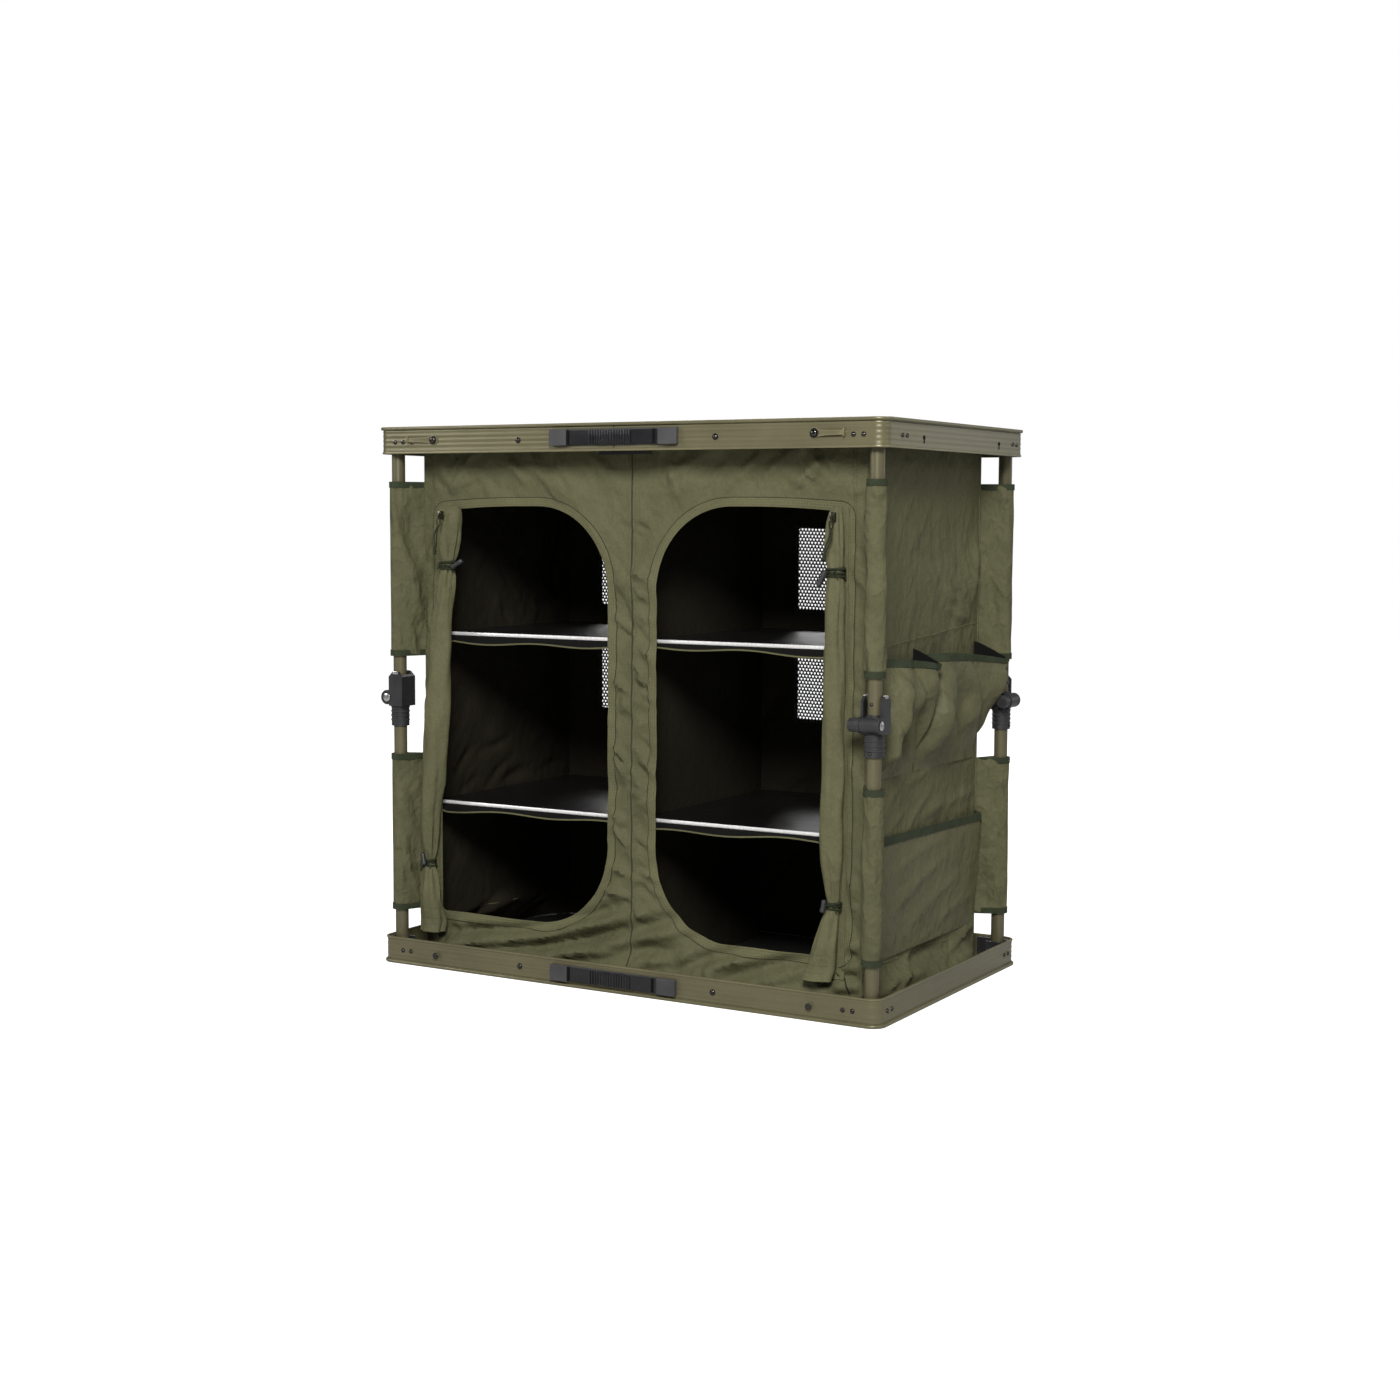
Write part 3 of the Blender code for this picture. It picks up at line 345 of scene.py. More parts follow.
def steel_material(name, colour=(0.58, 0.57, 0.55), roughness=0.26, metallic=1.0):
    """Brushed steel."""
    made, tree, shader, place = new_material(name)
    lines = noise_of(tree, place, (900, 900, 120))
    tint = tinted(tree, lines, colour, (0.3, 0.8), (0.7, 1.15))
    ends = (lines, roughness - 0.06, roughness + 0.14)
    finish(tree, shader, tint, ends, (lines, 0.15, 0.0002), {"Metallic": metallic})
    return made


def board_material(name, colour, roughness, coat):
    """Laminate: a faint pebble, small scratches and smudges."""
    made, tree, shader, place = new_material(name)
    cloud = noise_of(tree, place, 7.0, 6.0)
    fine = noise_of(tree, place, 700.0, 2.0)
    scratch = noise_of(tree, place, (25, 60, 25), 5.0, 0.7)
    tint = tinted(tree, cloud, colour, (0.3, 0.75), (0.7, 1.3))
    ends = (scratch, roughness, roughness + 0.18)
    sockets = {"Coat Weight": coat, "Coat Roughness": 0.15}
    finish(tree, shader, tint, ends, (fine, 0.12, 0.0002), sockets)
    return made


OLIVE = (0.092, 0.0885, 0.0445)
OLIVE_CLOTH = cloth_material("olive_cloth", OLIVE)
# The walls' dark inner coating, darkened further as painted shade for the interior
DARK_LINING_AND_SHADE = cloth_material("lining", (0.017, 0.0145, 0.0080), 0.0, 0.8, crumple=0.3)
HEM_CLOTH = cloth_material("hem_cloth", shade(OLIVE, 1.22), pitch=0.0014, weave=0.9, crumple=0.3)
ROLL_CLOTH = cloth_material("roll_cloth", shade(OLIVE, 1.12), crumple=1.1)
POCKET_CLOTH = cloth_material("pocket_cloth", shade(OLIVE, 0.98), 0.06, 0.48)
SLEEVE_CLOTH = cloth_material("sleeve_cloth", shade(OLIVE, 0.98), crumple=2.6)
# Near-black cloth of the shelf slings, also used inside the pockets as painted shade
SLING_AND_POCKET_SHADE_CLOTH = cloth_material("sling_cloth", (0.0022, 0.0020, 0.0016), 0.0, 0.85, crumple=0.3)
BINDING_CLOTH = ribbed_material("binding", (0.030, 0.038, 0.019))
THREAD = cloth_material("thread", shade(OLIVE, 0.42), 0.0, pitch=0.0005, crumple=0.0)
CORD = cloth_material("cord", (0.026, 0.032, 0.016), 0.02, pitch=0.0009, weave=2.0, crumple=0.0)
NET = net_material()
PAINT = paint_material("rail_paint", (0.128, 0.116, 0.062), 0.34, 0.32)
TUBE_PAINT = paint_material("tube_paint", (0.088, 0.079, 0.042), metallic=0.3, along=(900, 900, 6))
ZIP_METAL = paint_material("zip_metal", (0.060, 0.058, 0.040), 0.22, 0.9)
PLASTIC = plastic_material("black_plastic", (0.016, 0.016, 0.017))
HANDLE = plastic_material("handle_plastic", (0.042, 0.040, 0.042), 0.5, strength=0.4)
RUBBER = plastic_material("grip_rubber", (0.009, 0.009, 0.010), 0.24, 1600.0, 0.12)
STEEL = steel_material("bright_steel")
DARK_STEEL = steel_material("dark_steel", (0.075, 0.072, 0.068), 0.13)
# The shelf edges' bright trim, near-white and only partly metallic so that it looks evenly bright: partly a
# painted highlight
EDGE_TRIM_AND_PAINTED_HIGHLIGHT = steel_material("edge_strip", (0.78, 0.77, 0.75), 0.3, 0.35)
WORKTOP = board_material("worktop", (0.050, 0.050, 0.034), 0.52, 0.0)
SHELF = board_material("shelf_laminate", (0.006, 0.005, 0.005), 0.24, 0.10)
BASE_BOARD = board_material("base_laminate", (0.014, 0.014, 0.013), 0.5, 0.0)
# Near-black, barely shiny plastic: the rail's butt seam, and painted shade in the keyholes, the grip gaps and
# under the top rail
SEAM_AND_SHADE_BLACK = plastic_material("seam_and_shade_black", (0.004, 0.004, 0.004), 0.8, shine=0.05)


# Mesh helpers
def linked(name, data):
    """A new object in the scene."""
    made = bpy.data.objects.new(name, data)
    bpy.context.scene.collection.objects.link(made)
    return made


def smoothed(mesh, angle):
    """Smooth shading, with edges sharper than an angle in degrees kept."""
    mesh.shade_smooth()
    mesh.set_sharp_from_angle(angle=math.radians(angle))


def object_of(name, points, faces, material, smooth=60):
    """An object of points and faces, with one material or a tuple of them."""
    mesh = bpy.data.meshes.new(name)
    mesh.from_pydata([tuple(p) for p in points], [], [tuple(f) for f in faces])
    mesh.validate()
    for each in material if isinstance(material, tuple) else (material,):
        mesh.materials.append(each)
    smoothed(mesh, smooth)
    return linked(name, mesh)


def thickened(obj, thick=CLOTH, lining=False):
    """The object as a shell, with its second material on the inside if it has a lining."""
    shell = obj.modifiers.new("thickness", "SOLIDIFY")
    shell.thickness = thick
    shell.offset = 0.0
    shell.use_even_offset = False
    shell.material_offset = 1 if lining else 0
    shell.material_offset_rim = 0
    bpy.context.view_layer.update()
    graph = bpy.context.evaluated_depsgraph_get()
    mesh = bpy.data.meshes.new_from_object(obj.evaluated_get(graph))
    obj.modifiers.clear()
    obj.data = mesh
    smoothed(mesh, 60)
    return obj


def grid_faces(columns, rows, closed=False):
    """Faces of a grid of points, row after row; closed joins each row's last point to its first."""
    faces = []
    for row in range(rows - 1):
        for column in range(columns if closed else columns - 1):
            near = (column + 1) % columns
            low = row * columns
            faces.append((low + column, low + near, low + columns + near, low + columns + column))
    return faces


def rod_faces(sides, rings):
    """Faces of a rod: rings of points joined in turn, with a cap at each end."""
    last = (rings - 1) * sides
    caps = [tuple(range(sides))[::-1], tuple(range(last, last + sides))]
    return grid_faces(sides, rings, closed=True) + caps


def loop_faces(sides, rings):
    """Faces of a closed loop: rings of points joined in turn, the last one to the first."""
    count = sides * rings
    return [tuple(i % count for i in face) for face in grid_faces(sides, rings + 1, closed=True)]


def ring_of(place, radius, side, up, sides):
    """Points round a place, in the plane of two directions."""
    angles = [2 * math.pi * k / sides for k in range(sides)]
    return [place + radius * (math.cos(a) * side + math.sin(a) * up) for a in angles]


def tube(name, path, radius, material, closed=False):
    """A round tube along a path of points."""
    path = [Vector(p) for p in path]
    count = len(path)
    points = []
    side = None
    for i, place in enumerate(path):
        before = path[i - 1] if (i or closed) else place
        after = path[(i + 1) % count] if (i + 1 < count or closed) else place
        along = (after - before).normalized()
        if side is None:
            side = along.orthogonal().normalized()
        side = (side - along * side.dot(along)).normalized()
        points += ring_of(place, radius, side, along.cross(side), ROD_SIDES)
    faces = (loop_faces if closed else rod_faces)(ROD_SIDES, count)
    return object_of(name, points, faces, material, 50)


def joined(name, parts):
    """One object from several, with their materials kept."""
    bpy.context.view_layer.update()
    shape = bmesh.new()
    materials = []
    for part in parts:
        mesh = part.data.copy()
        mesh.transform(part.matrix_world)
        start = len(shape.faces)
        shape.from_mesh(mesh)
        shape.faces.ensure_lookup_table()
        for face in shape.faces[start:]:
            material = mesh.materials[face.material_index]
            if material not in materials:
                materials.append(material)
            face.material_index = materials.index(material)
        bpy.data.meshes.remove(mesh)
    whole = bpy.data.meshes.new(name)
    shape.to_mesh(whole)
    shape.free()
    for material in materials:
        whole.materials.append(material)
    for part in parts:
        bpy.data.objects.remove(part, do_unlink=True)
    return linked(name, whole)


def arc(centre, radius, start, end, steps):
    """Points on an arc, with its angles in degrees."""
    angles = [math.radians(a) for a in spread(start, end, steps)]
    return [(centre[0] + radius * math.cos(a), centre[1] + radius * math.sin(a)) for a in angles]


def block(low, high, material, bevel, turn=None):
    """A box with bevelled edges, turned about its middle by a rotation matrix."""
    low, high = Vector(low), Vector(high)
    shape = bmesh.new()
    bmesh.ops.create_cube(shape, size=1, matrix=Matrix.Diagonal((*(high - low), 1)))
    bmesh.ops.bevel(shape, geom=list(shape.edges), offset=bevel, segments=2, affect="EDGES", profile=0.5)
    mesh = bpy.data.meshes.new("block")
    shape.to_mesh(mesh)
    shape.free()
    mesh.transform(Matrix.Translation((low + high) / 2) @ (turn or Matrix()))
    mesh.materials.append(material)
    smoothed(mesh, 30)
    return linked("block", mesh)


def turned(profile, place, axis, material, sides=20):
    """A (radius, distance along the axis) profile turned round an axis through a place."""
    axis = Vector(axis).normalized()
    side = axis.orthogonal().normalized()
    up = axis.cross(side)
    points = []
    for radius, along in profile:
        points += ring_of(Vector(place) + axis * along, radius, side, up, sides)
    return object_of("turned", points, rod_faces(sides, len(profile)), material, 35)


def rivet(place, axis, radius):
    """A domed rivet on a thin washer."""
    profile = [(radius * 1.25, 0.0), (radius * 1.25, 0.0004), (radius, 0.0005)]
    profile += [(radius * math.cos(a), 0.0005 + radius * 0.55 * math.sin(a)) for a in spread(0.15, 1.45, 6)]
    return turned(profile, place, axis, DARK_STEEL, 16)


def dashes(name, path, pitch=0.0042, length=0.0027, radius=0.00032, out=(0, 0, 0)):
    """A row of stitches along a path: small pointed threads lifted a little off the cloth."""
    path = [Vector(p) for p in path]
    points = []
    faces = []
    travelled = 0.0
    due = pitch / 2
    lift = Vector(out)
    for a, b in zip(path, path[1:]):
        span = (b - a).length
        if span < 1e-6:
            continue
        along = (b - a) / span
        side = along.cross(lift if lift.length > 0 else Vector((0, 1, 0)))
        side = side.normalized() if side.length > 1e-6 else along.orthogonal().normalized()
        up = side.cross(along)
        while travelled + span >= due:
            middle = a + along * (due - travelled)
            first = len(points)
            points.append(middle - along * length / 2)
            points += ring_of(middle, radius, side, up, 4)
            points.append(middle + along * length / 2)
            for k in range(4):
                near = first + 1 + (k + 1) % 4
                faces += [(first, near, first + 1 + k), (first + 5, first + 1 + k, near)]
            due += pitch
        travelled += span
    return object_of(name, points, faces, THREAD)


# Cloth forms
def roll_middle(name, z):
    """The roll's centre line at a height: its X."""
    end, low, high = ROLL_INSETS[name]
    stations = (ROLL_BOTTOM, TIE_LOW, TIE_HIGH, ROLL_TOP)
    inset = np.interp(z, stations, (end, low, high, high + ROLL_LEANS[name]))
    return SIDES[name] * (BODY_X - float(inset))


def smooth_step(value):
    value = np.clip(value, 0.0, 1.0)
    return value * value * (3 - 2 * value)


def slack(z):
    """How far cloth may leave its plane: 0 where it is held at its hems and shelves, 1 midway."""
    held = (BODY_LOW, SHELVES["lower"][1].z, SHELVES["upper"][1].z, BODY_HIGH)
    for low, high in zip(held, held[1:]):
        if low <= z <= high:
            return math.sin(math.pi * (z - low) / (high - low))
    return 0.0


def flare(z, to_corner):
    """How far the walls' foot spreads at a height and a distance from the body's corner."""
    foot = max(0.0, 1 - (z - BODY_LOW) / FLARE_HEIGHT)
    free = min(max(to_corner / FLARE_CORNER, 0.0), 1.0)
    return FLARE * foot**1.4 * free * free * (3 - 2 * free)


class Creases:
    """Soft ridges on a wall, each along a line with a width and a height, and summed at any point."""

    def __init__(self, *rows):
        self.lines = []
        for *line, width, height in rows:
            self.lay(width, height, line)

    def lay(self, width, height, *lines):
        """Ridges along lines from x, y to x, y."""
        for line in lines:
            self.lines.append((*line, width, height * FOLDS))

    def fan(self, centre, first, last, count, reach, width, height):
        """Ridges that spread from a point between two angles, in degrees."""
        for angle in spread(first, last, count - 1):
            turn = math.radians(angle + RANDOM.uniform(-5, 5))
            near = RANDOM.uniform(0.05, 0.3) * reach
            far = RANDOM.uniform(0.7, 1.0) * reach
            x, y = math.cos(turn), math.sin(turn)
            line = (centre[0] + near * x, centre[1] + near * y, centre[0] + far * x, centre[1] + far * y)
            self.lay(width * RANDOM.uniform(0.7, 1.3), height * RANDOM.uniform(0.5, 1.2), line)

    def scatter(self, low, high, count, angle, reach, width, height):
        """Short ridges strewn over a box, turned round about an angle."""
        for _ in range(count):
            turn = math.radians(angle + RANDOM.uniform(-22, 22))
            x = RANDOM.uniform(low[0], high[0])
            y = RANDOM.uniform(low[1], high[1])
            half = reach * RANDOM.uniform(0.3, 0.6)
            across, up = half * math.cos(turn), half * math.sin(turn)
            sign = RANDOM.choice((-0.6, 1.0))
            self.lay(width, sign * height, (x - across, y - up, x + across, y + up))

    def heights(self, points):
        """The summed height at each of an array of points."""
        points = np.asarray(points, float)
        total = np.zeros(len(points))
        for x0, y0, x1, y1, width, height in self.lines:
            run = np.array([x1 - x0, y1 - y0])
            length = math.hypot(*run)
            unit = run / length
            away = points - (x0, y0)
            along = away @ unit
            across = away @ np.array([-unit[1], unit[0]])
            taper = smooth_step(1 - np.abs(along / length - 0.5) * 2)
            bow = across - 0.06 * length * np.sin(np.pi * np.clip(along / length, 0, 1))
            total += height * taper * np.exp(-(np.abs(bow / width) ** 1.4))
        return total


def inside(points, polygon):
    """Whether each of an array of points lies in a polygon."""
    found = np.zeros(len(points), bool)
    x, y = points[:, 0], points[:, 1]
    for (x0, y0), (x1, y1) in zip(polygon, polygon[1:] + polygon[:1]):
        crosses = (y0 > y) != (y1 > y)
        with np.errstate(divide="ignore", invalid="ignore"):
            hit = x < (x1 - x0) * (y - y0) / (y1 - y0) + x0
        found ^= crosses & hit
    return found


def between(a, b, share):
    """The flat point at a share of the way from a to b."""
    return (a[0] + (b[0] - a[0]) * share, a[1] + (b[1] - a[1]) * share)


def resampled(polygon, step):
    """A polygon with points no further apart than about a step."""
    points = []
    for a, b in zip(polygon, polygon[1:] + polygon[:1]):
        count = max(1, round(math.dist(a, b) / step))
        points += [(a[0] + (b[0] - a[0]) * i / count, a[1] + (b[1] - a[1]) * i / count) for i in range(count)]
    return points


def resampled_pair(inner, outer, step):
    """Two matching outlines with the same number of points, no further apart than about a step."""
    rows = ([], [])
    for i in range(len(inner)):
        j = (i + 1) % len(inner)
        parts = max(1, round(math.dist(outer[i], outer[j]) / step))
        for k in range(parts):
            for row, line in zip(rows, (inner, outer)):
                row.append(between(line[i], line[j], k / parts))
    return rows


def patch(outline, holes, step):
    """Flat triangles over an outline with holes cut from it: (points, faces)."""
    loops = [resampled(loop, step) for loop in [outline] + holes]
    xs = [p[0] for p in outline]
    ys = [p[1] for p in outline]
    rows = []
    for i, y in enumerate(np.arange(min(ys) + step / 2, max(ys), step * 0.866)):
        shift = step / 2 if i % 2 else 0.0
        rows += [(x, y) for x in np.arange(min(xs) + step / 2 + shift, max(xs), step)]
    field = np.array(rows)
    keep = within(field, loops)
    border = np.array([p for loop in loops for p in loop])
    for start in range(0, len(field), 2000):
        part = field[start : start + 2000]
        nearest = np.sqrt(((part[:, None, :] - border[None]) ** 2).sum(-1)).min(1)
        keep[start : start + 2000] &= nearest > step * 0.55
    points = [tuple(p) for p in border] + [tuple(p) for p in field[keep]]
    edges = []
    first = 0
    for loop in loops:
        edges += [(first + i, first + (i + 1) % len(loop)) for i in range(len(loop))]
        first += len(loop)
    made = delaunay_2d_cdt([Vector(p) for p in points], edges, [], 0, 1e-6)
    places = np.array([tuple(p) for p in made[0]])
    middles = np.array([places[list(face)].mean(0) for face in made[2]])
    return places, [tuple(face) for face, good in zip(made[2], within(middles, loops)) if good]


def within(points, loops):
    """Whether each of an array of points lies in the first loop and in none of the others."""
    found = inside(points, loops[0])
    for hole in loops[1:]:
        found &= ~inside(points, hole)
    return found


def opening_outline(side, grow=0.0):
    """The door opening's edge in X and Z, or a line that lies further out by grow."""
    inner, outer = OPENING_INNER - grow, OPENING_OUTER + grow
    low, high = OPENING_LOW - grow, OPENING_HIGH + grow
    radius, corner = OPENING_ARCH + grow, OPENING_CORNER + grow
    middle = (inner + outer) / 2
    points = arc((outer - corner, high - corner), corner, 0, 90, 5)
    points += [(x, high) for x in spread(outer - corner, inner + radius, 8)[1:-1]]
    points += arc((inner + radius, high - radius), radius, 90, 180, 18)
    points += arc((inner + radius, low + radius), radius, 180, 270, 18)
    points += [(x, low) for x in spread(inner + radius, outer - corner, 8)[1:-1]]
    points += arc((outer - corner, low + corner), corner, 270, 360, 5)
    drooped = []
    for x, z in points:
        sag = max(0.0, (x - middle) / (outer - middle)) ** 2 * max(0.0, (z - KNEE_Z) / (high - KNEE_Z)) ** 4
        drooped.append((side * x, z - OPENING_DROOP * sag))
    return drooped


def rectangle(low_x, high_x, low_y, high_y):
    return [(low_x, low_y), (high_x, low_y), (high_x, high_y), (low_x, high_y)]


def front_creases():
    """Creases round the openings, along the foot and the upper band, on the post and at the sides."""
    folds = Creases()
    for side in SIDES.values():
        arch = (side * 0.085, OPENING_HIGH - 0.015)
        corner = (side * (OPENING_OUTER - 0.004), OPENING_HIGH + 0.004)
        folds.fan(corner, 90 + side * 6, 90 + side * 60, 6, 0.12, 0.0055, 0.0024)
        folds.fan(corner, 90 - side * 20, 90 - side * 60, 2, 0.05, 0.004, 0.0018)
        folds.fan(arch, 100 - side * 40, 100 + side * 10, 4, 0.11, 0.006, 0.0022)
        post = (side * 0.03, OPENING_HIGH - 0.12)
        folds.fan(post, -90 + side * 12, -90 + side * 48, 3, 0.10, 0.006, 0.0022)
        folds.fan((side * 0.30, OPENING_LOW - 0.004), -60, -120, 4, 0.06, 0.008, 0.0034)
        folds.fan((side * 0.11, OPENING_LOW), -40, -140, 5, 0.07, 0.008, 0.0036)
        strip = side * 0.338
        folds.scatter((strip - 0.004, 0.10), (strip + 0.004, 0.64), 16, 90 + side * 18, 0.11, 0.0045, 0.0026)
    for width, height, *lines in (
        (0.0065, 0.0026, (0.140, 0.675, 0.230, 0.740), (0.180, 0.670, 0.262, 0.738)),
        (0.0065, 0.0026, (0.235, 0.668, 0.312, 0.728)),
        (0.0060, 0.0024, (-0.180, 0.722, -0.105, 0.662), (-0.215, 0.735, -0.160, 0.668)),
        (0.0060, 0.0024, (-0.315, 0.660, -0.262, 0.722)),
        (0.0110, 0.0040, (-0.245, 0.024, 0.000, 0.088), (-0.300, 0.018, -0.160, 0.060)),
        (0.0110, 0.0040, (-0.100, 0.018, 0.030, 0.052)),
        (0.0105, 0.0040, (0.000, 0.040, 0.150, 0.080), (0.060, 0.020, 0.250, 0.060)),
        (0.0105, 0.0040, (0.180, 0.014, 0.330, 0.050)),
    ):
        folds.lay(width, height, *lines)
    folds.scatter((-0.028, 0.09), (0.028, 0.64), 44, -36, 0.066, 0.0038, 0.0036)
    folds.scatter((-0.028, 0.10), (0.028, 0.60), 14, 24, 0.090, 0.0085, 0.0030)
    folds.scatter((-0.34, OPENING_HIGH + 0.02), (-0.02, BODY_HIGH - 0.01), 14, -50, 0.08, 0.006, 0.0013)
    folds.scatter((0.02, OPENING_HIGH + 0.02), (0.34, BODY_HIGH - 0.01), 14, 44, 0.09, 0.006, 0.0014)
    folds.scatter((-0.33, BODY_LOW), (0.33, OPENING_LOW - 0.012), 16, 14, 0.16, 0.006, 0.0022)
    return folds


def back_creases():
    """Creases along the back wall's foot and upper band, and between its windows."""
    folds = Creases()
    folds.scatter((-0.33, BODY_LOW), (0.33, 0.32), 26, 40, 0.16, 0.012, 0.0026)
    folds.scatter((-0.33, 0.65), (0.33, BODY_HIGH), 16, 70, 0.10, 0.011, 0.0020)
    folds.scatter((-0.045, 0.32), (0.045, 0.65), 10, 60, 0.08, 0.009, 0.0016)
    return folds


def side_creases():
    """Creases above the pockets, between them and along the foot of a side wall."""
    folds = Creases()
    folds.scatter((-0.15, 0.50), (0.10, 0.74), 12, 65, 0.13, 0.007, 0.0009)
    folds.scatter((-0.10, 0.49), (0.16, 0.60), 9, -52, 0.08, 0.006, 0.0015)
    folds.fan((0.180, 0.50), 96, 165, 7, 0.16, 0.007, 0.0026)
    folds.lay(0.010, 0.0040, (0.150, 0.495, 0.178, 0.640))
    folds.scatter((-0.16, 0.235), (0.16, 0.30), 10, 18, 0.12, 0.006, 0.0016)
    folds.scatter((-0.15, 0.02), (0.15, 0.05), 10, 10, 0.20, 0.007, 0.0034)
    return folds


FRONT_FOLDS = front_creases()
BACK_FOLDS = back_creases()
SIDE_FOLDS = side_creases()
# Creases of the pockets: the gaping ones' in shares of their width and height, the flat one's in metres
NEAR_FOLDS = Creases(
    (1.0, 1.0, 0.36, 0.40, 0.13, 0.0026),
    (0.36, 0.46, 0.02, 0.0, 0.11, 0.0024),
    (0.85, 0.66, 0.46, 0.05, 0.09, -0.0022),
    (0.34, 1.0, 0.24, 0.55, 0.06, 0.0014),
    (0.62, 0.72, 0.52, 0.30, 0.05, 0.0014),
)
FAR_FOLDS = Creases(
    (0.12, 1.1, 0.02, 0.22, 0.09, 0.0026),
    (0.28, 0.96, 0.33, 0.62, 0.05, -0.0022),
    (0.52, 1.05, 0.12, 0.05, 0.12, 0.0026),
    (0.98, 0.70, 0.30, 0.05, 0.14, 0.0022),
    (0.72, 0.80, 0.48, 0.28, 0.07, -0.0018),
    (0.24, 0.40, 0.08, 0.02, 0.05, -0.0020),
)
FLAT_FOLDS = Creases(
    (-0.19, 0.145, 0.12, 0.205, 0.009, 0.0014),
    (-0.18, 0.085, 0.15, 0.190, 0.010, 0.0018),
    (-0.10, 0.070, 0.17, 0.150, 0.010, 0.0015),
    (-0.19, 0.120, -0.02, 0.160, 0.006, -0.0012),
    (0.02, 0.075, 0.18, 0.110, 0.008, 0.0013),
)


def leaning_folds(x, z, angle, seed):
    """Irregular folds that run at an angle, in degrees, over a flat cloth."""
    turn = math.radians(angle)
    along = x * math.cos(turn) + z * math.sin(turn)
    across = z * math.cos(turn) - x * math.sin(turn)
    broad = noise.noise((along * 9, seed, across * 27))
    sharp = noise.noise((along * 14, seed + 4.7, across * 46))
    return 0.0066 * broad + 0.0030 * (0.35 - abs(sharp) * 2)


def front_slack(x, z):
    """Folds in the front wall: sweeping at its foot, leaning on the post and across the upper band."""
    left = leaning_folds(x, z, -46, 3.1)
    right = leaning_folds(x, z, 42, 8.4)
    band = 0.8 * (left + (right - left) * float(smooth_step((x + 0.02) / 0.05)))
    post = leaning_folds(x, z, -30, 5.7)
    low = float(smooth_step((0.61 - z) / 0.06))
    foot = float(smooth_step((0.135 - z) / 0.06))
    phase = (z - 0.30 * x) / 0.034 + 0.8 * noise.noise((x * 5, 1.3, z * 6))
    sweep = 0.0064 * (1 + 0.8 * noise.noise((x * 8, 6.6, z * 8))) * math.sin(2 * math.pi * phase)
    return (band * (1 - low) + post * low) * (1 - foot) + (0.4 * post + sweep) * foot


def hem_distance(x, z):
    """How far a point of the front wall lies outside the nearer door opening."""
    across = max(0.0, OPENING_INNER + OPENING_ARCH - abs(x))
    up = z - min(max(z, OPENING_LOW + OPENING_ARCH), OPENING_HIGH - OPENING_ARCH)
    return max(math.hypot(across, up) - OPENING_ARCH, abs(x) - OPENING_OUTER)


def edge_calm(to_corner, z):
    """How far folds may rise near a wall's side and upper edges, 0 to 1."""
    return max(0.0, min(1.0, to_corner / 0.012, (BODY_HIGH - z) / 0.010 + 0.15))


def on_front(line, out):
    """Points on the front wall's face along a line of (x, z), lifted towards the viewer by out."""
    points = []
    for (x, z), fold in zip(line, FRONT_FOLDS.heights(line)):
        beside = abs(x - roll_middle("left" if x < 0 else "right", z)) - 0.010
        calm = min(1.0, max(0.12, beside / 0.022)) if z < ROLL_TOP + 0.01 else 1.0
        calm *= 0.25 + 0.75 * min(1.0, abs(x) / 0.016)
        calm *= 0.35 + 0.65 * min(1.0, max(0.0, hem_distance(x, z)) / 0.020)
        wavy = 0.0014 * slack(z) * math.sin(9 * x + 14 * z) + front_slack(x, z)
        to_corner = BODY_X - abs(x)
        rise = (fold + wavy) * edge_calm(to_corner, z) * calm
        points.append((x, MIDDLE_Y - BODY_Y - flare(z, to_corner) - rise - out, z))
    return points


def on_back(line, out):
    """Points on the back wall's face along a line of (x, z), lifted outwards by out."""
    points = []
    for (x, z), fold in zip(line, BACK_FOLDS.heights(line)):
        calm = 1.0
        for side in SIDES.values():
            for left, right, low, high in WINDOWS.values():
                away = max(left - side * x, side * x - right, low - z, z - high, 0)
                calm = min(calm, away / 0.035)
        to_corner = BODY_X - abs(x)
        wavy = 0.0012 * noise.noise((x * 14, 8.3, z * 9)) + 0.5 * leaning_folds(x, z, 38, 7.3)
        rise = (fold + wavy) * (edge_calm(to_corner, z) * calm)
        points.append((x, MIDDLE_Y + BODY_Y + flare(z, to_corner) + rise + out, z))
    return points


def on_side(side):
    """A function that puts (y, z) points on a side wall's face, y counted from the middle."""

    def lift(line, out):
        points = []
        for (y, z), fold in zip(line, SIDE_FOLDS.heights(line)):
            to_corner = BODY_Y - abs(y)
            wavy = 0.0014 * noise.noise((2.3 + side, y * 15, z * 9)) + 0.32 * leaning_folds(y, z, 62, 2.2)
            wavy += 0.6 * leaning_folds(y, z, 14, 9.1) * float(smooth_step((0.075 - z) / 0.03))
            x = BODY_X + flare(z, to_corner) + (fold + wavy) * edge_calm(to_corner, z) + out
            points.append((side * x, MIDDLE_Y + y, z))
        return points

    return lift


def wall_of(name, places, faces, lift):
    """A wall of olive cloth with a dark lining, its colour partly painted shade, from flat points that lift
    puts in space.
    """
    return thickened(object_of(name, lift(places, 0.0), faces, (OLIVE_CLOTH, DARK_LINING_AND_SHADE)), lining=True)


def ribbon(name, inner, outer, surface, steps):
    """A sewn band between two matching closed lines, laid on a surface and crowned across."""
    points = []
    for share in spread(0.0, 1.0, steps):
        row = [between(a, b, share) for a, b in zip(inner, outer)]
        points += surface(row, BAND_THICK / 2 + BAND_CROWN * math.sin(math.pi * share))
    faces = grid_faces(len(inner), steps + 1, closed=True)
    return thickened(object_of(name, points, faces, HEM_CLOTH), BAND_THICK)


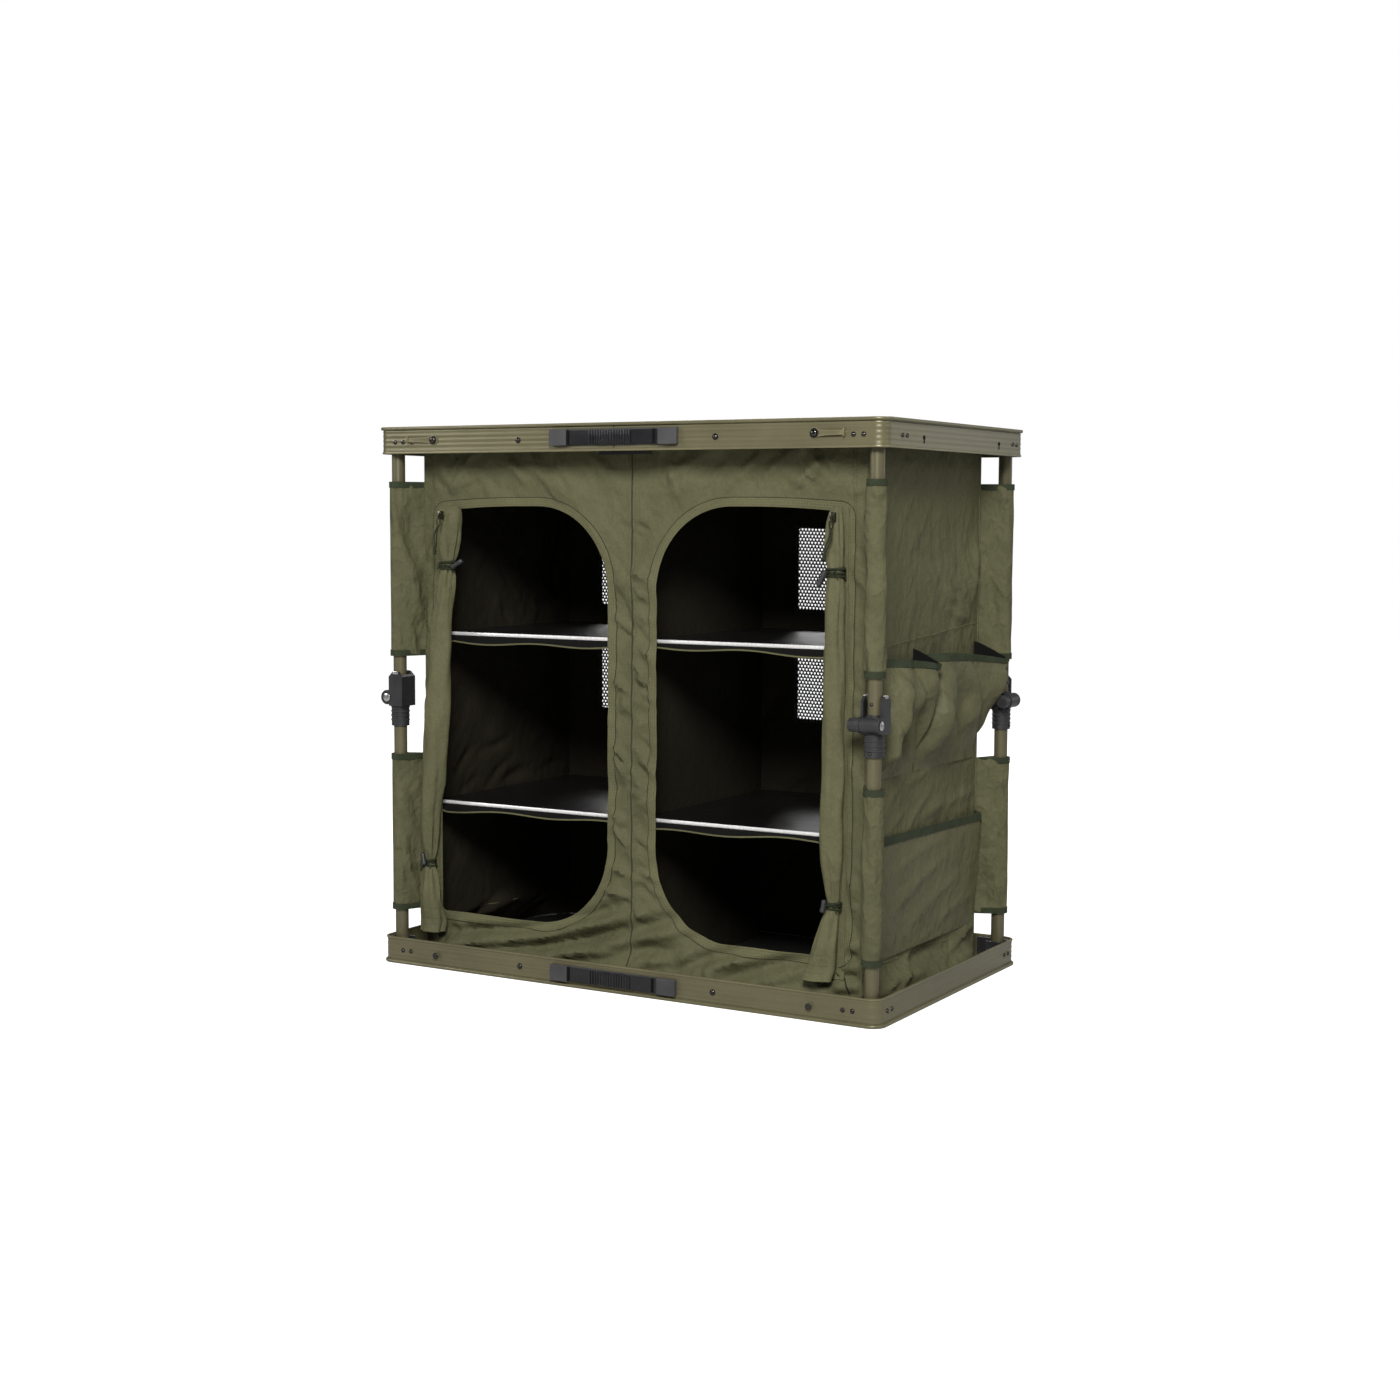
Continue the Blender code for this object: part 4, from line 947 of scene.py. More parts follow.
def make_front():
    """The front wall, then its hems, piping, stitches and loose cord end."""
    half = BODY_X - CLOTH / 2
    holes = [opening_outline(side) for side in SIDES.values()]
    places, faces = patch(rectangle(-half, half, BODY_LOW, BODY_HIGH), holes, STEP)
    pieces = [wall_of("front_wall", places, faces, on_front)]
    pieces += [make_hem(f"door_hem_{name}", side) for name, side in SIDES.items()]
    seam = [(0.0, z) for z in spread(BODY_LOW + 0.004, BODY_HIGH - 0.003, 260)]
    pieces.append(tube("centre_piping", on_front(seam, 0.0009), 0.0010, THREAD))
    for offset in (-0.0052, 0.0052):
        row = [(x + offset, z) for x, z in seam]
        pieces.append(dashes(f"centre_stitch_{offset > 0}", on_front(row, STITCH_LIFT)))
    loose = [(0.316, 0.056), (0.321, 0.051), (0.327, 0.049), (0.333, 0.041), (0.336, 0.034)]
    pieces.append(tube("loose_cord_end", on_front(loose, 0.0032), 0.0011, CORD))
    for name, side in SIDES.items():
        line = [(side * (BODY_X - 0.0205), z) for z in spread(BODY_LOW + 0.05, BODY_HIGH - 0.003, 110)]
        pieces.append(tube(f"side_piping_{name}", on_front(line, 0.0006), 0.0007, HEM_CLOTH))
        for k, offset in enumerate((0.0030, 0.0062)):
            row = [(x + side * offset, z) for x, z in line]
            pieces.append(dashes(f"side_stitch_{name}_{k}", on_front(row, STITCH_LIFT)))
    return pieces


def make_hem(name, side):
    """The zip's tape and hem round one opening, with three rows of stitches and a piping."""
    lines = resampled_pair(opening_outline(side, -0.0008), opening_outline(side, HEM), SEAM_STEP)
    rows = [ribbon(name, *lines, on_front, 6)]
    for grow in (0.0015, 0.0052, HEM - 0.0022):
        line = resampled(opening_outline(side, grow), STITCH_STEP)
        rows.append(dashes("stitch", on_front(line + line[:1], 0.0019)))
    piping = resampled(opening_outline(side, HEM + 0.0006), 0.005)
    rows.append(tube("piping", on_front(piping, 0.0008), 0.0007, THREAD, closed=True))
    return joined(name + "_sewn", rows)


def make_back():
    """The back wall with its hemmed windows: its pieces, and the windows' boxes by row and side."""
    half = BODY_X - CLOTH / 2
    boxes = {}
    for name, side in SIDES.items():
        for row, (left, right, low, high) in WINDOWS.items():
            boxes[row, name] = (*sorted((side * left, side * right)), low, high)
    holes = [rounded(*box, WINDOW_CORNER) for box in boxes.values()]
    places, faces = patch(rectangle(-half, half, BODY_LOW, BODY_HIGH), holes, STEP * 1.15)
    pieces = [wall_of("back_wall_cloth", places, [face[::-1] for face in faces], on_back)]
    for (row, name), box in boxes.items():
        outer = rounded(*grown(box, WINDOW_HEM), WINDOW_CORNER + WINDOW_HEM)
        lines = resampled_pair(rounded(*box, WINDOW_CORNER), outer, SEAM_STEP)
        rows = [ribbon("band", *lines, on_back, 4)]
        for grow in (0.002, 0.007):
            line = resampled(rounded(*grown(box, grow), WINDOW_CORNER + grow), STITCH_STEP)
            rows.append(dashes("stitch", on_back(line + line[:1], 0.0018), out=(0, 1, 0)))
        pieces.append(joined(f"window_hem_{row}_{name}", rows))
    seam = [(0.0, z) for z in spread(BODY_LOW + 0.004, BODY_HIGH - 0.003, 90)]
    pieces.append(tube("back_piping", on_back(seam, 0.0007), 0.0009, HEM_CLOTH))
    return pieces, boxes


def rounded(low_x, high_x, low_y, high_y, radius):
    """A rectangle's outline with round corners."""
    points = []
    middle_x, middle_y = (low_x + high_x) / 2, (low_y + high_y) / 2
    for x, y, start in ((high_x, high_y, 0), (low_x, high_y, 90), (low_x, low_y, 180), (high_x, low_y, 270)):
        centre = (x - math.copysign(radius, x - middle_x), y - math.copysign(radius, y - middle_y))
        points += arc(centre, radius, start, start + 90, 4)
    return points


def grown(box, by):
    return (box[0] - by, box[1] + by, box[2] - by, box[3] + by)


def make_nets(boxes):
    """The nets behind the windows, a little slack."""
    pieces = {}
    for (row, name), box in boxes.items():
        left, right, low, high = grown(box, NET_SEAM)
        points = []
        for z in spread(low, high, 16):
            rise = math.sin(math.pi * (z - low) / (high - low))
            for x in spread(left, right, 26):
                bow = math.sin(math.pi * (x - left) / (right - left)) * rise
                ripple = noise.noise((x * 25, 1.7, z * 25)) * 0.0012
                points.append((x, MIDDLE_Y + BODY_Y - CLOTH / 2 - 0.0009 - (0.0018 + ripple) * bow, z))
        pieces[row, name] = thickened(object_of(f"net_{row}_{name}", points, grid_faces(27, 17), NET), 0.0007)
    return pieces


# Side walls, pockets and sleeves
def outward(faces, side):
    """Faces of the right side, turned over for the left."""
    return faces if side > 0 else [face[::-1] for face in faces]


def make_side(name, side):
    """A side wall, and the piping and stitches of its seams in one piece."""
    lift = on_side(side)
    out = (side, 0, 0)
    half = BODY_Y + CLOTH / 2
    places, faces = patch(rectangle(-half, half, BODY_LOW, BODY_HIGH), [], STEP * 1.1)
    made = wall_of(f"side_wall_cloth_{name}", places, outward(faces, side), lift)
    seam = [(y, WALL_SEAM + 0.012 * y / BODY_Y) for y in spread(-half + 0.004, half - 0.004, 60)]
    rows = [tube("ridge", lift(seam, 0.0007), 0.0008, HEM_CLOTH)]
    rows.append(dashes("stitch", lift([(y, z - 0.004) for y, z in seam], STITCH_LIFT), out=out))
    for end in (-1, 1):
        line = [(end * (half - 0.004), z) for z in spread(BODY_LOW + 0.05, BODY_HIGH - 0.004, 90)]
        rows.append(tube("ridge", lift(line, 0.0006), 0.0008, HEM_CLOTH))
        rows.append(dashes("stitch", lift([(y - end * 0.004, z) for y, z in line], STITCH_LIFT), out=out))
    foot = [(y, 0.057 - 0.04 * y + 0.0015 * math.sin(y * 20)) for y in spread(-half + 0.02, half - 0.02, 50)]
    rows.append(tube("ridge", lift(foot, 0.0007), 0.0008, HEM_CLOTH))
    return made, joined(f"side_seams_{name}", rows)


def make_pocket(name, side, low, high, front, back, gape, hang, crest, bulge, droop, creases=None):
    """A pocket along a wall, sewn at its sides and foot, with a crest down its face and a rim off the wall.

    gape is how far the rim stands off the wall at each end, hang how far its back corner leans back and droop
    how far it sinks. crest is where the fold's line starts and ends, and how wide it is before and behind.
    From the back corner a gusset turns back to the wall.
    """
    columns = 70
    rows = 44
    bend = 0.90
    front_start, front_end, before, behind = crest
    points = []
    for j in range(rows + 1):
        rise = j / rows
        for i in range(columns + 1):
            share = i / columns
            across = min(share / bend, 1.0)
            fold = max(0.0, (share - bend) / (1 - bend))
            swell = min(1.0, across / 0.10) ** 0.8 * (1 - fold) ** 0.8
            out = gape[0] + (gape[1] - gape[0]) * (max(0.0, across - 0.25) / 0.75) ** 1.1
            out *= min(1.0, max(0.0, rise - 0.06) / 0.76) ** 1.1
            away = across - front_start - (front_end - front_start) * rise
            full = math.sin(math.pi * min(1.0, 0.05 + rise * 0.87)) ** 0.8 * min(rise * 5, 1)
            out += bulge * math.exp(-((away / (before if away < 0 else behind)) ** 2)) * full
            if creases:
                out += float(creases.heights([(across, rise)])[0]) * full
            lean = across * 3.2 - 1.5 * (1 - rise)
            crumple = 1.3 * noise.noise((lean * 1.3 + side, rise * 3, front * 31))
            crease = abs(math.sin(lean * math.pi)) ** 0.6 - 0.6 + crumple
            out = max(0.0, (out + crease * full * bulge * 0.30) * swell)
            back_lean = hang * rise**1.2
            y = front + (back + back_lean - front) * across - back_lean * fold * 1.1
            z = low + (high - low) * rise
            z += (GUSSET * fold * (hang > 0) - droop * across**2 * (1 - fold)) * rise**4
            points.append((side * (BODY_X + CLOTH / 2 + POCKET_OFF + out), MIDDLE_Y + y, z))
    if hang == 0:
        for k, fold in enumerate(FLAT_FOLDS.heights([(y - MIDDLE_Y, z) for _, y, z in points])):
            x, y, z = points[k]
            points[k] = (x + side * max(fold, -0.001), y, z)
    faces = outward(grid_faces(columns + 1, rows + 1), side)
    # The pocket's inside takes the near-black sling cloth: painted shade inside the pocket
    cloth = thickened(object_of(name, points, faces, (POCKET_CLOTH, SLING_AND_POCKET_SHADE_CLOTH)), THIN_CLOTH, lining=True)
    count = columns + 1 if hang == 0 else round(columns * bend) + 2
    band = []
    for row in range(rows, rows - 4, -1):
        start = row * (columns + 1)
        band += [Vector(p) + Vector((side * 0.0013, 0, 0)) for p in points[start : start + count]]
    trim = object_of(name + "_rim", band, outward(grid_faces(count, 4), -side), BINDING_CLOTH)
    return cloth, thickened(trim, 0.0014)


def make_pockets(name, side):
    """Two gaping pockets side by side, and a flat one below them: (cloth, rim) of each by its kind."""
    front = -BODY_Y + 0.010
    tall = (POCKET_LOW, POCKET_HIGH)
    near = (front, POCKET_SPLIT, (0.002, 0.034), 0.016, (0.16, 0.44, 0.18, 0.13), 0.032, 0.013, NEAR_FOLDS)
    far = (POCKET_SPLIT + 0.004, POCKET_BACK, (0.006, 0.042), 0.024)
    far += ((0.07, 0.26, 0.12, 0.17), 0.030, 0.018, FAR_FOLDS)
    flat = (front, BODY_Y - 0.008, (0.0, 0.008), 0.0, (0.5, 0.5, 0.5, 0.5), 0.001, 0.003)
    return {
        "front": make_pocket(f"pocket_front_{name}", side, *tall, *near),
        "back": make_pocket(f"pocket_back_{name}", side, *tall, *far),
        "flat": make_pocket(f"pocket_flat_{name}", side, FLAT_POCKET_LOW, FLAT_POCKET_HIGH, *flat),
    }


def sleeve_outline(corner, leg, radius):
    """A loop round a leg tube, drawn in to a point at the body's corner, in X and Y."""
    away = Vector(leg) - Vector(corner)
    half = math.acos(radius / away.length)
    start = math.atan2(away.y, away.x) + math.pi - half
    sweep = 2 * math.pi - 2 * half
    loop = []
    for i in range(15):
        angle = start - sweep * i / 14
        loop.append((leg[0] + radius * math.cos(angle), leg[1] + radius * math.sin(angle)))
    tip = Vector(corner) + away.normalized() * 0.0010
    lead = [tuple(tip.lerp(Vector(loop[0]), k / 5)) for k in range(5)]
    tail = [tuple(Vector(loop[-1]).lerp(tip, k / 5)) for k in range(1, 5)]
    return lead + loop + tail


def make_sleeves(name, side):
    """The wings at each end of a side wall: sleeves round a leg tube with bound ends, by level and end."""
    pieces = {}
    radius = TUBE_RADIUS + SLEEVE_PLAY + SLEEVE_WALL / 2
    for end_name, end in (("front", -1), ("back", 1)):
        corner = (side * BODY_X, MIDDLE_Y + end * BODY_Y)
        leg = (side * LEG_X, MIDDLE_Y + end * LEG_Y)
        normal = Vector((corner[1] - leg[1], leg[0] - corner[0])).normalized()
        loop = sleeve_outline(corner, leg, radius)
        wide = sleeve_outline(corner, leg, radius + 0.0011)
        count = len(loop)
        for level, (low, high) in zip(("low", "high"), SLEEVE_SPANS):
            label = f"{level}_{end_name}_{name}"
            points = []
            for z in spread(low, high, 60):
                for k, (x, y) in enumerate(loop):
                    near = min(k, count - k)
                    free = math.sin(math.pi * near / 6.5) if near < 6 else 0.25
                    ends = min(1.0, (z - low) / 0.014, (high - z) / 0.014)
                    place = (near * 0.22 + side * 3, z * 19 + near * 0.32 * side, end * 2.0)
                    push = noise.noise(place) * 0.0150 * free * ends
                    points.append((x + normal.x * push, y + normal.y * push, z))
            cloth = object_of(f"sleeve_{label}", points, grid_faces(count, 61, True), SLEEVE_CLOTH)
            bands = []
            for start in (low - 0.0004, high - BINDING + 0.0004):
                ring = [(x, y, z) for z in spread(start, start + BINDING, 2) for x, y in wide]
                bound = object_of("band", ring, grid_faces(count, 3, True), BINDING_CLOTH)
                bands.append(thickened(bound, THIN_CLOTH))
            pieces[level, end_name] = (thickened(cloth, SLEEVE_WALL), joined(f"sleeve_bands_{label}", bands))
    return pieces


# Divider and slings
def make_divider():
    """The cloth wall between the two columns, a little slack."""
    half = BODY_Y - CLOTH / 2 - 0.0003
    points = []
    for z in spread(BODY_LOW, BODY_HIGH, 90):
        for y in spread(-half, half, 40):
            calm = math.sin(math.pi * (y + half) / (2 * half)) * slack(z)
            points.append((0.0018 * calm * math.sin(28 * y + 11 * z), MIDDLE_Y + y, z))
    # The divider takes the dark lining colour, which is partly painted shade
    return thickened(object_of("divider_cloth", points, grid_faces(41, 91), DARK_LINING_AND_SHADE))


def make_sling(row, name, side):
    """The dark cloth tray under a shelf board, with an olive hem hanging in waves at the front."""
    board = SHELVES[row]
    top = board[0].z - 0.0006
    inner = CLOTH / 2 + 0.0006
    outer = BODY_X - CLOTH / 2 - 0.0008
    front = MIDDLE_Y - BODY_Y + 0.0052
    edge, back = board[0].y, board[1].y
    columns = spread(inner, outer, 60)
    hanging = (0.0, 0.12, 0.25, 0.4, 0.6, 0.8, 1.0)
    points = []
    for share in hanging:
        for x in columns:
            wave = 0.55 + 0.45 * math.sin(23 * x + 60 * top + side) * math.sin(13 * x + 2 * side)
            ends = min(1.0, (x - inner) / 0.03, (outer - x) / 0.03)
            drop = (1 - share) ** 1.6 * 0.0095 * (0.20 + wave * ends)
            points.append((side * x, front + (edge - front) * share, top - 0.0006 - drop))
    for y in spread(edge, back, 8)[1:]:
        points += [(side * x, y, top - 0.0006) for x in columns]
    faces = outward(grid_faces(61, len(hanging) + 8), side)
    made = thickened(object_of(f"sling_cloth_{row}_{name}", points, faces, SLING_AND_POCKET_SHADE_CLOTH), THIN_CLOTH)
    return made, tube(f"sling_hem_{row}_{name}", points[:61], 0.0012, HEM_CLOTH)


def make_edge_strip(row, name, side):
    """The bright channel along a shelf board's front edge, round its two front corners; its near-white,
    mostly non-metallic colour is partly a painted highlight.
    """
    low, high = SHELVES[row]
    proud = 0.0009
    radius = 0.012 + proud
    left, right = low.x - proud, high.x + proud
    front = low.y - proud
    path = arc((left + radius, front + radius), radius, 180, 270, 8)
    path += arc((right - radius, front + radius), radius, 270, 360, 8)
    middle = (low.z + high.z) / 2
    half = (high.z - low.z) / 2 + 0.0004
    profile = [(0.0016, -half), (-0.0002, -half), (-0.0010, -half * 0.5), (-0.0010, half * 0.5)]
    profile += [(-0.0002, half), (0.0016, half), (0.0016, half - 0.0004), (0.0010, 0.0)]
    profile.append((0.0016, 0.0004 - half))
    points = []
    for i, (x, y) in enumerate(path):
        along = (Vector(path[min(i + 1, len(path) - 1)]) - Vector(path[max(i - 1, 0)])).normalized()
        points += [(side * (x - along.y * depth), y + along.x * depth, middle + z) for depth, z in profile]
    faces = outward(rod_faces(len(profile), len(path)), -side)
    return object_of(f"edge_strip_{row}_{name}", points, faces, EDGE_TRIM_AND_PAINTED_HIGHLIGHT, 40)


# Rolled doors, their ties and the zip pulls

# Heights above a roll's foot, and each roll's girth there
ROLL_HEIGHTS = (
    *(0.0, 0.012, 0.045, 0.080, 0.097, 0.112, 0.150, 0.230, 0.330),
    *(0.420, 0.490, 0.513, 0.527, 0.541, 0.562, 0.592, 0.604, 0.610),
)
ROLL_GIRTHS = {
    "left": (
        *(1.28, 1.36, 1.10, 0.76, 0.52, 0.68, 0.98, 1.24, 1.30),
        *(1.10, 0.88, 0.74, 0.66, 0.76, 1.02, 1.02, 0.86, 0.45),
    ),
    "right": (
        *(1.30, 1.34, 1.05, 0.74, 0.52, 0.68, 0.95, 1.04, 1.04),
        *(0.98, 0.88, 0.78, 0.70, 0.74, 0.82, 0.66, 0.52, 0.34),
    ),
}


def roll_girth(name, z):
    """The roll's girth at a height, as a share of its radius."""
    return float(np.interp(z - ROLL_BOTTOM, ROLL_HEIGHTS, ROLL_GIRTHS[name]))


def roll_place(name, z):
    """The roll's centre at a height, in front of the wall."""
    ahead = flare(z - 0.009, FLARE_CORNER)
    depth = ROLL_RADIUS * ROLL_FLATTEN * min(roll_girth(name, z), 1.06)
    return Vector((roll_middle(name, z), MIDDLE_Y - BODY_Y - CLOTH - 0.0012 - depth - ahead, z))


def make_roll(name):
    """A door led from the opening's outer edge and rolled up like a scroll, gathered at its ties."""
    side = SIDES[name]
    heights = spread(ROLL_BOTTOM, ROLL_TOP, 130)
    lead = 5
    lap = 34
    turns = lap * ROLL_TURNS
    edge = side * (OPENING_OUTER + DOOR_SEAM)
    points = []
    for z in heights:
        centre = roll_place(name, z)
        girth = roll_girth(name, z)
        wall = MIDDLE_Y - BODY_Y - CLOTH - 0.0010 - flare(z, FLARE_CORNER)
        from_tie = z - min((TIE_LOW, TIE_HIGH), key=lambda tie: abs(z - tie))
        near_tie = math.exp(-((from_tie / 0.055) ** 2))
        loose = 1 - 0.85 * math.exp(-((from_tie / 0.012) ** 2))
        foot = math.exp(-(((z - ROLL_BOTTOM) / 0.05) ** 2))
        ring = []
        for k in range(turns + 1):
            share = k / turns
            angle = 2 * math.pi * ROLL_TURNS * share
            gather = 0.17 * near_tie * math.cos(7 * angle + 9 * z)
            gather += 0.09 * near_tie * math.cos(12 * angle - 14 * z)
            fall = 0.06 * foot * math.cos(5 * angle + 1.0)
            crumple = 0.26 * noise.noise((math.cos(angle) * 1.5, math.sin(angle) * 1.5, z * 15 + side * 5))
            crumple += 0.07 * math.cos(3 * angle + 4 * math.sin(z * 9 + side))
            size = (ROLL_RADIUS + (ROLL_CORE - ROLL_RADIUS) * share) * girth
            size *= 1 + (gather + fall + crumple) * loose
            x = centre.x - side * size * math.sin(angle)
            y = centre.y + size * math.cos(angle) * ROLL_FLATTEN * min(1.0, 1.06 / girth)
            ring.append(Vector((x, min(y, wall - 0.0004 - 0.0010 * share), z)))
        start = Vector((edge, wall, z))
        points += [start.lerp(ring[0], k / lead) for k in range(lead)] + ring
    across = lead + turns + 1
    faces = outward(grid_faces(across, len(heights)), side)
    cloth = thickened(object_of(f"rolled_door_{name}", points, faces, ROLL_CLOTH), 0.0009)
    rows = []
    for level in (2, 4, 7):
        middle = roll_place(name, heights[level])
        ring = points[level * across + lead : level * across + lead + lap]
        ring = [p + (p - middle).normalized() * 0.0006 for p in ring]
        rows.append(dashes("stitch", ring, pitch=0.0036, length=0.0025, radius=0.0004))
    rows.append(tube("hem", points[lead:across], 0.0010, HEM_CLOTH))
    return cloth, joined(f"rolled_door_hem_{name}", rows)


def make_tie(name, level, z, wraps, spreading):
    """Cord wound round a roll, with a barrel toggle on a short link."""
    path = []
    for share in spread(0.0, 1.0, 26 * wraps):
        height = z + spreading * (share - 0.5) + 0.0014 * math.sin(share * 2 * math.pi * 3)
        centre = roll_place(name, height)
        angle = 2 * math.pi * wraps * share
        size = ROLL_RADIUS * roll_girth(name, height) * 1.06 + 0.0014
        y = centre.y + size * math.sin(angle) * ROLL_FLATTEN
        wall = MIDDLE_Y - BODY_Y - CLOTH - 0.0016 - flare(height, FLARE_CORNER)
        path.append((centre.x + size * math.cos(angle), min(y, wall), height))
    cord = tube("wraps", path, 0.0014, CORD)
    centre = roll_place(name, z)
    reach = ROLL_RADIUS * roll_girth(name, z) * 1.1
    start, heading = {
        ("left", "high"): (Vector((reach + 0.004, -0.008, -0.002)), Vector((0.80, -0.10, 0.42))),
        ("right", "high"): (Vector((-reach * 0.9, -0.009, 0.001)), Vector((-0.42, -0.15, -0.90))),
        ("left", "low"): (Vector((-reach * 0.4, -0.011, 0.012)), Vector((0.25, -0.10, -0.96))),
        ("right", "low"): (Vector((-reach * 1.1, -0.008, 0.006)), Vector((-0.10, -0.20, -0.97))),
    }[name, level]
    start += centre
    heading.normalize()
    length = 0.0225 if level == "high" else 0.0175
    profile = [(0.0018, 0.0), (0.0034, 0.0014), (0.0037, 0.0040), (0.0031, length / 2)]
    profile += [(0.0037, length - 0.004), (0.0034, length - 0.0014), (0.0018, length)]
    toggle = turned(profile, start - heading * 0.002, heading, PLASTIC, 14)
    near = centre + Vector((start.x - centre.x, start.y - centre.y, 0)) * 0.7
    bend = (near + start) / 2 + Vector((0, -0.002, 0))
    pieces = [cord, toggle, tube("link", [near, bend, start, start + heading * 0.006], 0.0013, CORD)]
    for sign in (-1, 1):
        root = centre + Vector((sign * 0.002, -reach * ROLL_FLATTEN - 0.002, 0))
        tail = ((0, 0, 0), (sign * 0.004, -0.003, 0.002), (sign * 0.007, -0.002, -0.006))
        pieces.append(tube("tail", [root + Vector(step) for step in tail], 0.0012, CORD))
    return joined(f"tie_{level}_{name}", pieces)


def make_zip(name):
    """A zip slider at the opening's outer top corner, and its doubled pull cord with a knot."""
    side = SIDES[name]
    x = side * (OPENING_OUTER - {"left": 0.021, "right": 0.011}[name])
    z = OPENING_HIGH - 0.014
    roll = roll_place(name, min(z - 0.012, ROLL_TOP))
    ahead = roll.y - ROLL_RADIUS * ROLL_FLATTEN * roll_girth(name, z - 0.02) - 0.0035
    y = min(on_front([(x, z)], 0.0048)[0][1], ahead)
    low, high = (x - 0.0036, y - 0.0022, z - 0.0062), (x + 0.0036, y + 0.0040, z + 0.0060)
    body = block(low, high, ZIP_METAL, 0.0010)
    low, high = (x - 0.0014, y - 0.0042, z - 0.0048), (x + 0.0014, y - 0.0018, z + 0.0034)
    crown = block(low, high, ZIP_METAL, 0.0008)
    ring = []
    for angle in spread(0.0, 2 * math.pi, 20)[:-1]:
        ring.append((x + 0.0028 * math.sin(angle), y - 0.0044, z - 0.0090 + 0.0066 * math.cos(angle)))
    slider = joined(f"zip_slider_{name}", [body, crown, tube("ring", ring, 0.0009, ZIP_METAL, closed=True)])
    top = Vector((x, y - 0.0052, z - 0.0150))
    strands = []
    for way in (1, -1):
        for share in spread(0.0, 1.0, 20)[::way][:20]:
            bow = 0.0015 * math.sin(math.pi * share) + 0.0005
            sway = 0.0018 * math.sin(share * math.pi * 1.6) * side
            drop = Vector((-0.006 * share + sway + way * bow, -0.0030 * share, -PULL_LENGTH * share))
            strands.append(top + drop)
    cord = tube("pull", strands, 0.0012, CORD, closed=True)
    profile = [(0.0010, 0.0), (0.0024, 0.0012), (0.0027, 0.0034), (0.0021, 0.0056)]
    profile += [(0.0024, 0.0072), (0.0012, 0.0090)]
    end = top + Vector((-0.006 - 0.0017 * side, -0.0030, 0.002 - PULL_LENGTH))
    return slider, joined(f"zip_pull_{name}", [cord, turned(profile, end, (0, 0, -1), CORD, 12)])


# Rails, latches, fittings
def rail_profile():
    """The base rail's section, as (out of the face, height)."""
    points = [(-RAIL_WALL - FLANGE_WIDTH, FLANGES[0])]
    bead = LIP_BEAD / 2
    for i in range(9):
        angle = -math.pi / 2 + math.pi * i / 8
        proud = LIP_PROUD - bead * 0.55 + bead * 0.55 * math.cos(angle)
        points.append((proud, bead + bead * math.sin(angle)))
    low = LIP_BEAD + 0.0006
    high = RAIL_HEIGHT - RIM_BEAD - 0.0006
    points += [(0.0, LIP_BEAD + 0.0002), (-0.0006, LIP_BEAD + 0.0008), (0.0, low + 0.0014)]
    pitch = (high - low - 0.003) / FLUTES
    for i in range(FLUTES):
        start = low + 0.0015 + i * pitch
        points += [(0.0, start + pitch * 0.10), (-FLUTE_DEPTH, start + pitch * 0.28)]
        points += [(-FLUTE_DEPTH * 0.8, start + pitch * 0.62), (0.0, start + pitch * 0.85)]
    points += [(0.0, high - 0.0006), (0.0, high), (RIM_PROUD * 0.7, high + 0.0005)]
    points += [(RIM_PROUD, RAIL_HEIGHT - RIM_BEAD * 0.6), (RIM_PROUD * 0.8, RAIL_HEIGHT - 0.0003)]
    inner = -RAIL_WALL
    edge = inner - FLANGE_WIDTH
    points += [(RIM_PROUD * 0.2, RAIL_HEIGHT), (inner + 0.0003, RAIL_HEIGHT), (inner, RAIL_HEIGHT - 0.0003)]
    points += [(inner, FLANGES[3]), (edge, FLANGES[3]), (edge, FLANGES[2]), (inner, FLANGES[2])]
    points += [(inner, FLANGES[1]), (edge, FLANGES[1])]
    return points


def make_rail(name, flipped):
    """A rail frame: its section led round four corners, upside down for the top."""
    profile = rail_profile()
    points = []
    for i, (x, y) in enumerate(((1, 1), (-1, 1), (-1, -1), (1, -1))):
        centre = Vector((x * (FACE_X - RAIL_CORNER), y * (FACE_Y - RAIL_CORNER)))
        for k in range(13):
            angle = math.radians(90 * i + 7.5 * k)
            out = Vector((math.cos(angle), math.sin(angle)))
            for proud, z in profile:
                spot = centre + RAIL_CORNER * out + out * proud
                points.append((spot.x, MIDDLE_Y + spot.y, HEIGHT - z if flipped else z))
    faces = loop_faces(len(profile), len(points) // len(profile))
    faces = outward(faces, 1 if flipped else -1)
    return object_of(name, points, faces, PAINT, 38)


def rivet_pair(x, z, radius):
    """A rivet on a rail frame's front face, and one on its back."""
    return [rivet((x, MIDDLE_Y + end * (FACE_Y + 0.0001), z), (0, end, 0), radius) for end in (-1, 1)]


def rail_rivets(level):
    """The rivets of one rail frame, and the top one's keyholes (painted shade), seam and a painted shadow
    under its front, in its body's frame.
    """
    top = level == "top"
    z = HEIGHT - 0.0215 if top else 0.0195
    made = []
    for side in SIDES.values():
        for x in (0.3670, 0.3530) if top else (0.3600, 0.3460):
            made += rivet_pair(side * x, z, RIVET_RADIUS)
        for y in (-0.182, -0.168, 0.188, 0.202) if top else (-0.206, -0.192, 0.190, 0.204):
            made.append(rivet((side * (FACE_X + 0.0001), MIDDLE_Y + y, z), (side, 0, 0), RIVET_RADIUS))
        made += rivet_pair(side * 0.155, z, BIG_RIVET_RADIUS)
    if top:
        made += [keyhole(side, MIDDLE_Y + y, z - 0.003) for side in SIDES.values() for y in (-0.116, 0.137)]
        front = MIDDLE_Y - FACE_Y
        low = HEIGHT - RAIL_HEIGHT
        seam = (-0.0004, front - 0.0003, low + 0.001), (0.0004, front + 0.0006, HEIGHT - 0.0045)
        # A near-black bar just under the top rail's front: a painted shadow where the cloth's top edge tucks
        # in
        tucked_shadow = (-0.024, front + 0.0006, low - 0.0044), (0.0575, front + 0.0030, low + 0.0002)
        made += [block(*seam, SEAM_AND_SHADE_BLACK, 0.0001), block(*tucked_shadow, SEAM_AND_SHADE_BLACK, 0.0005)]
    return joined(f"{level}_rivets", made)


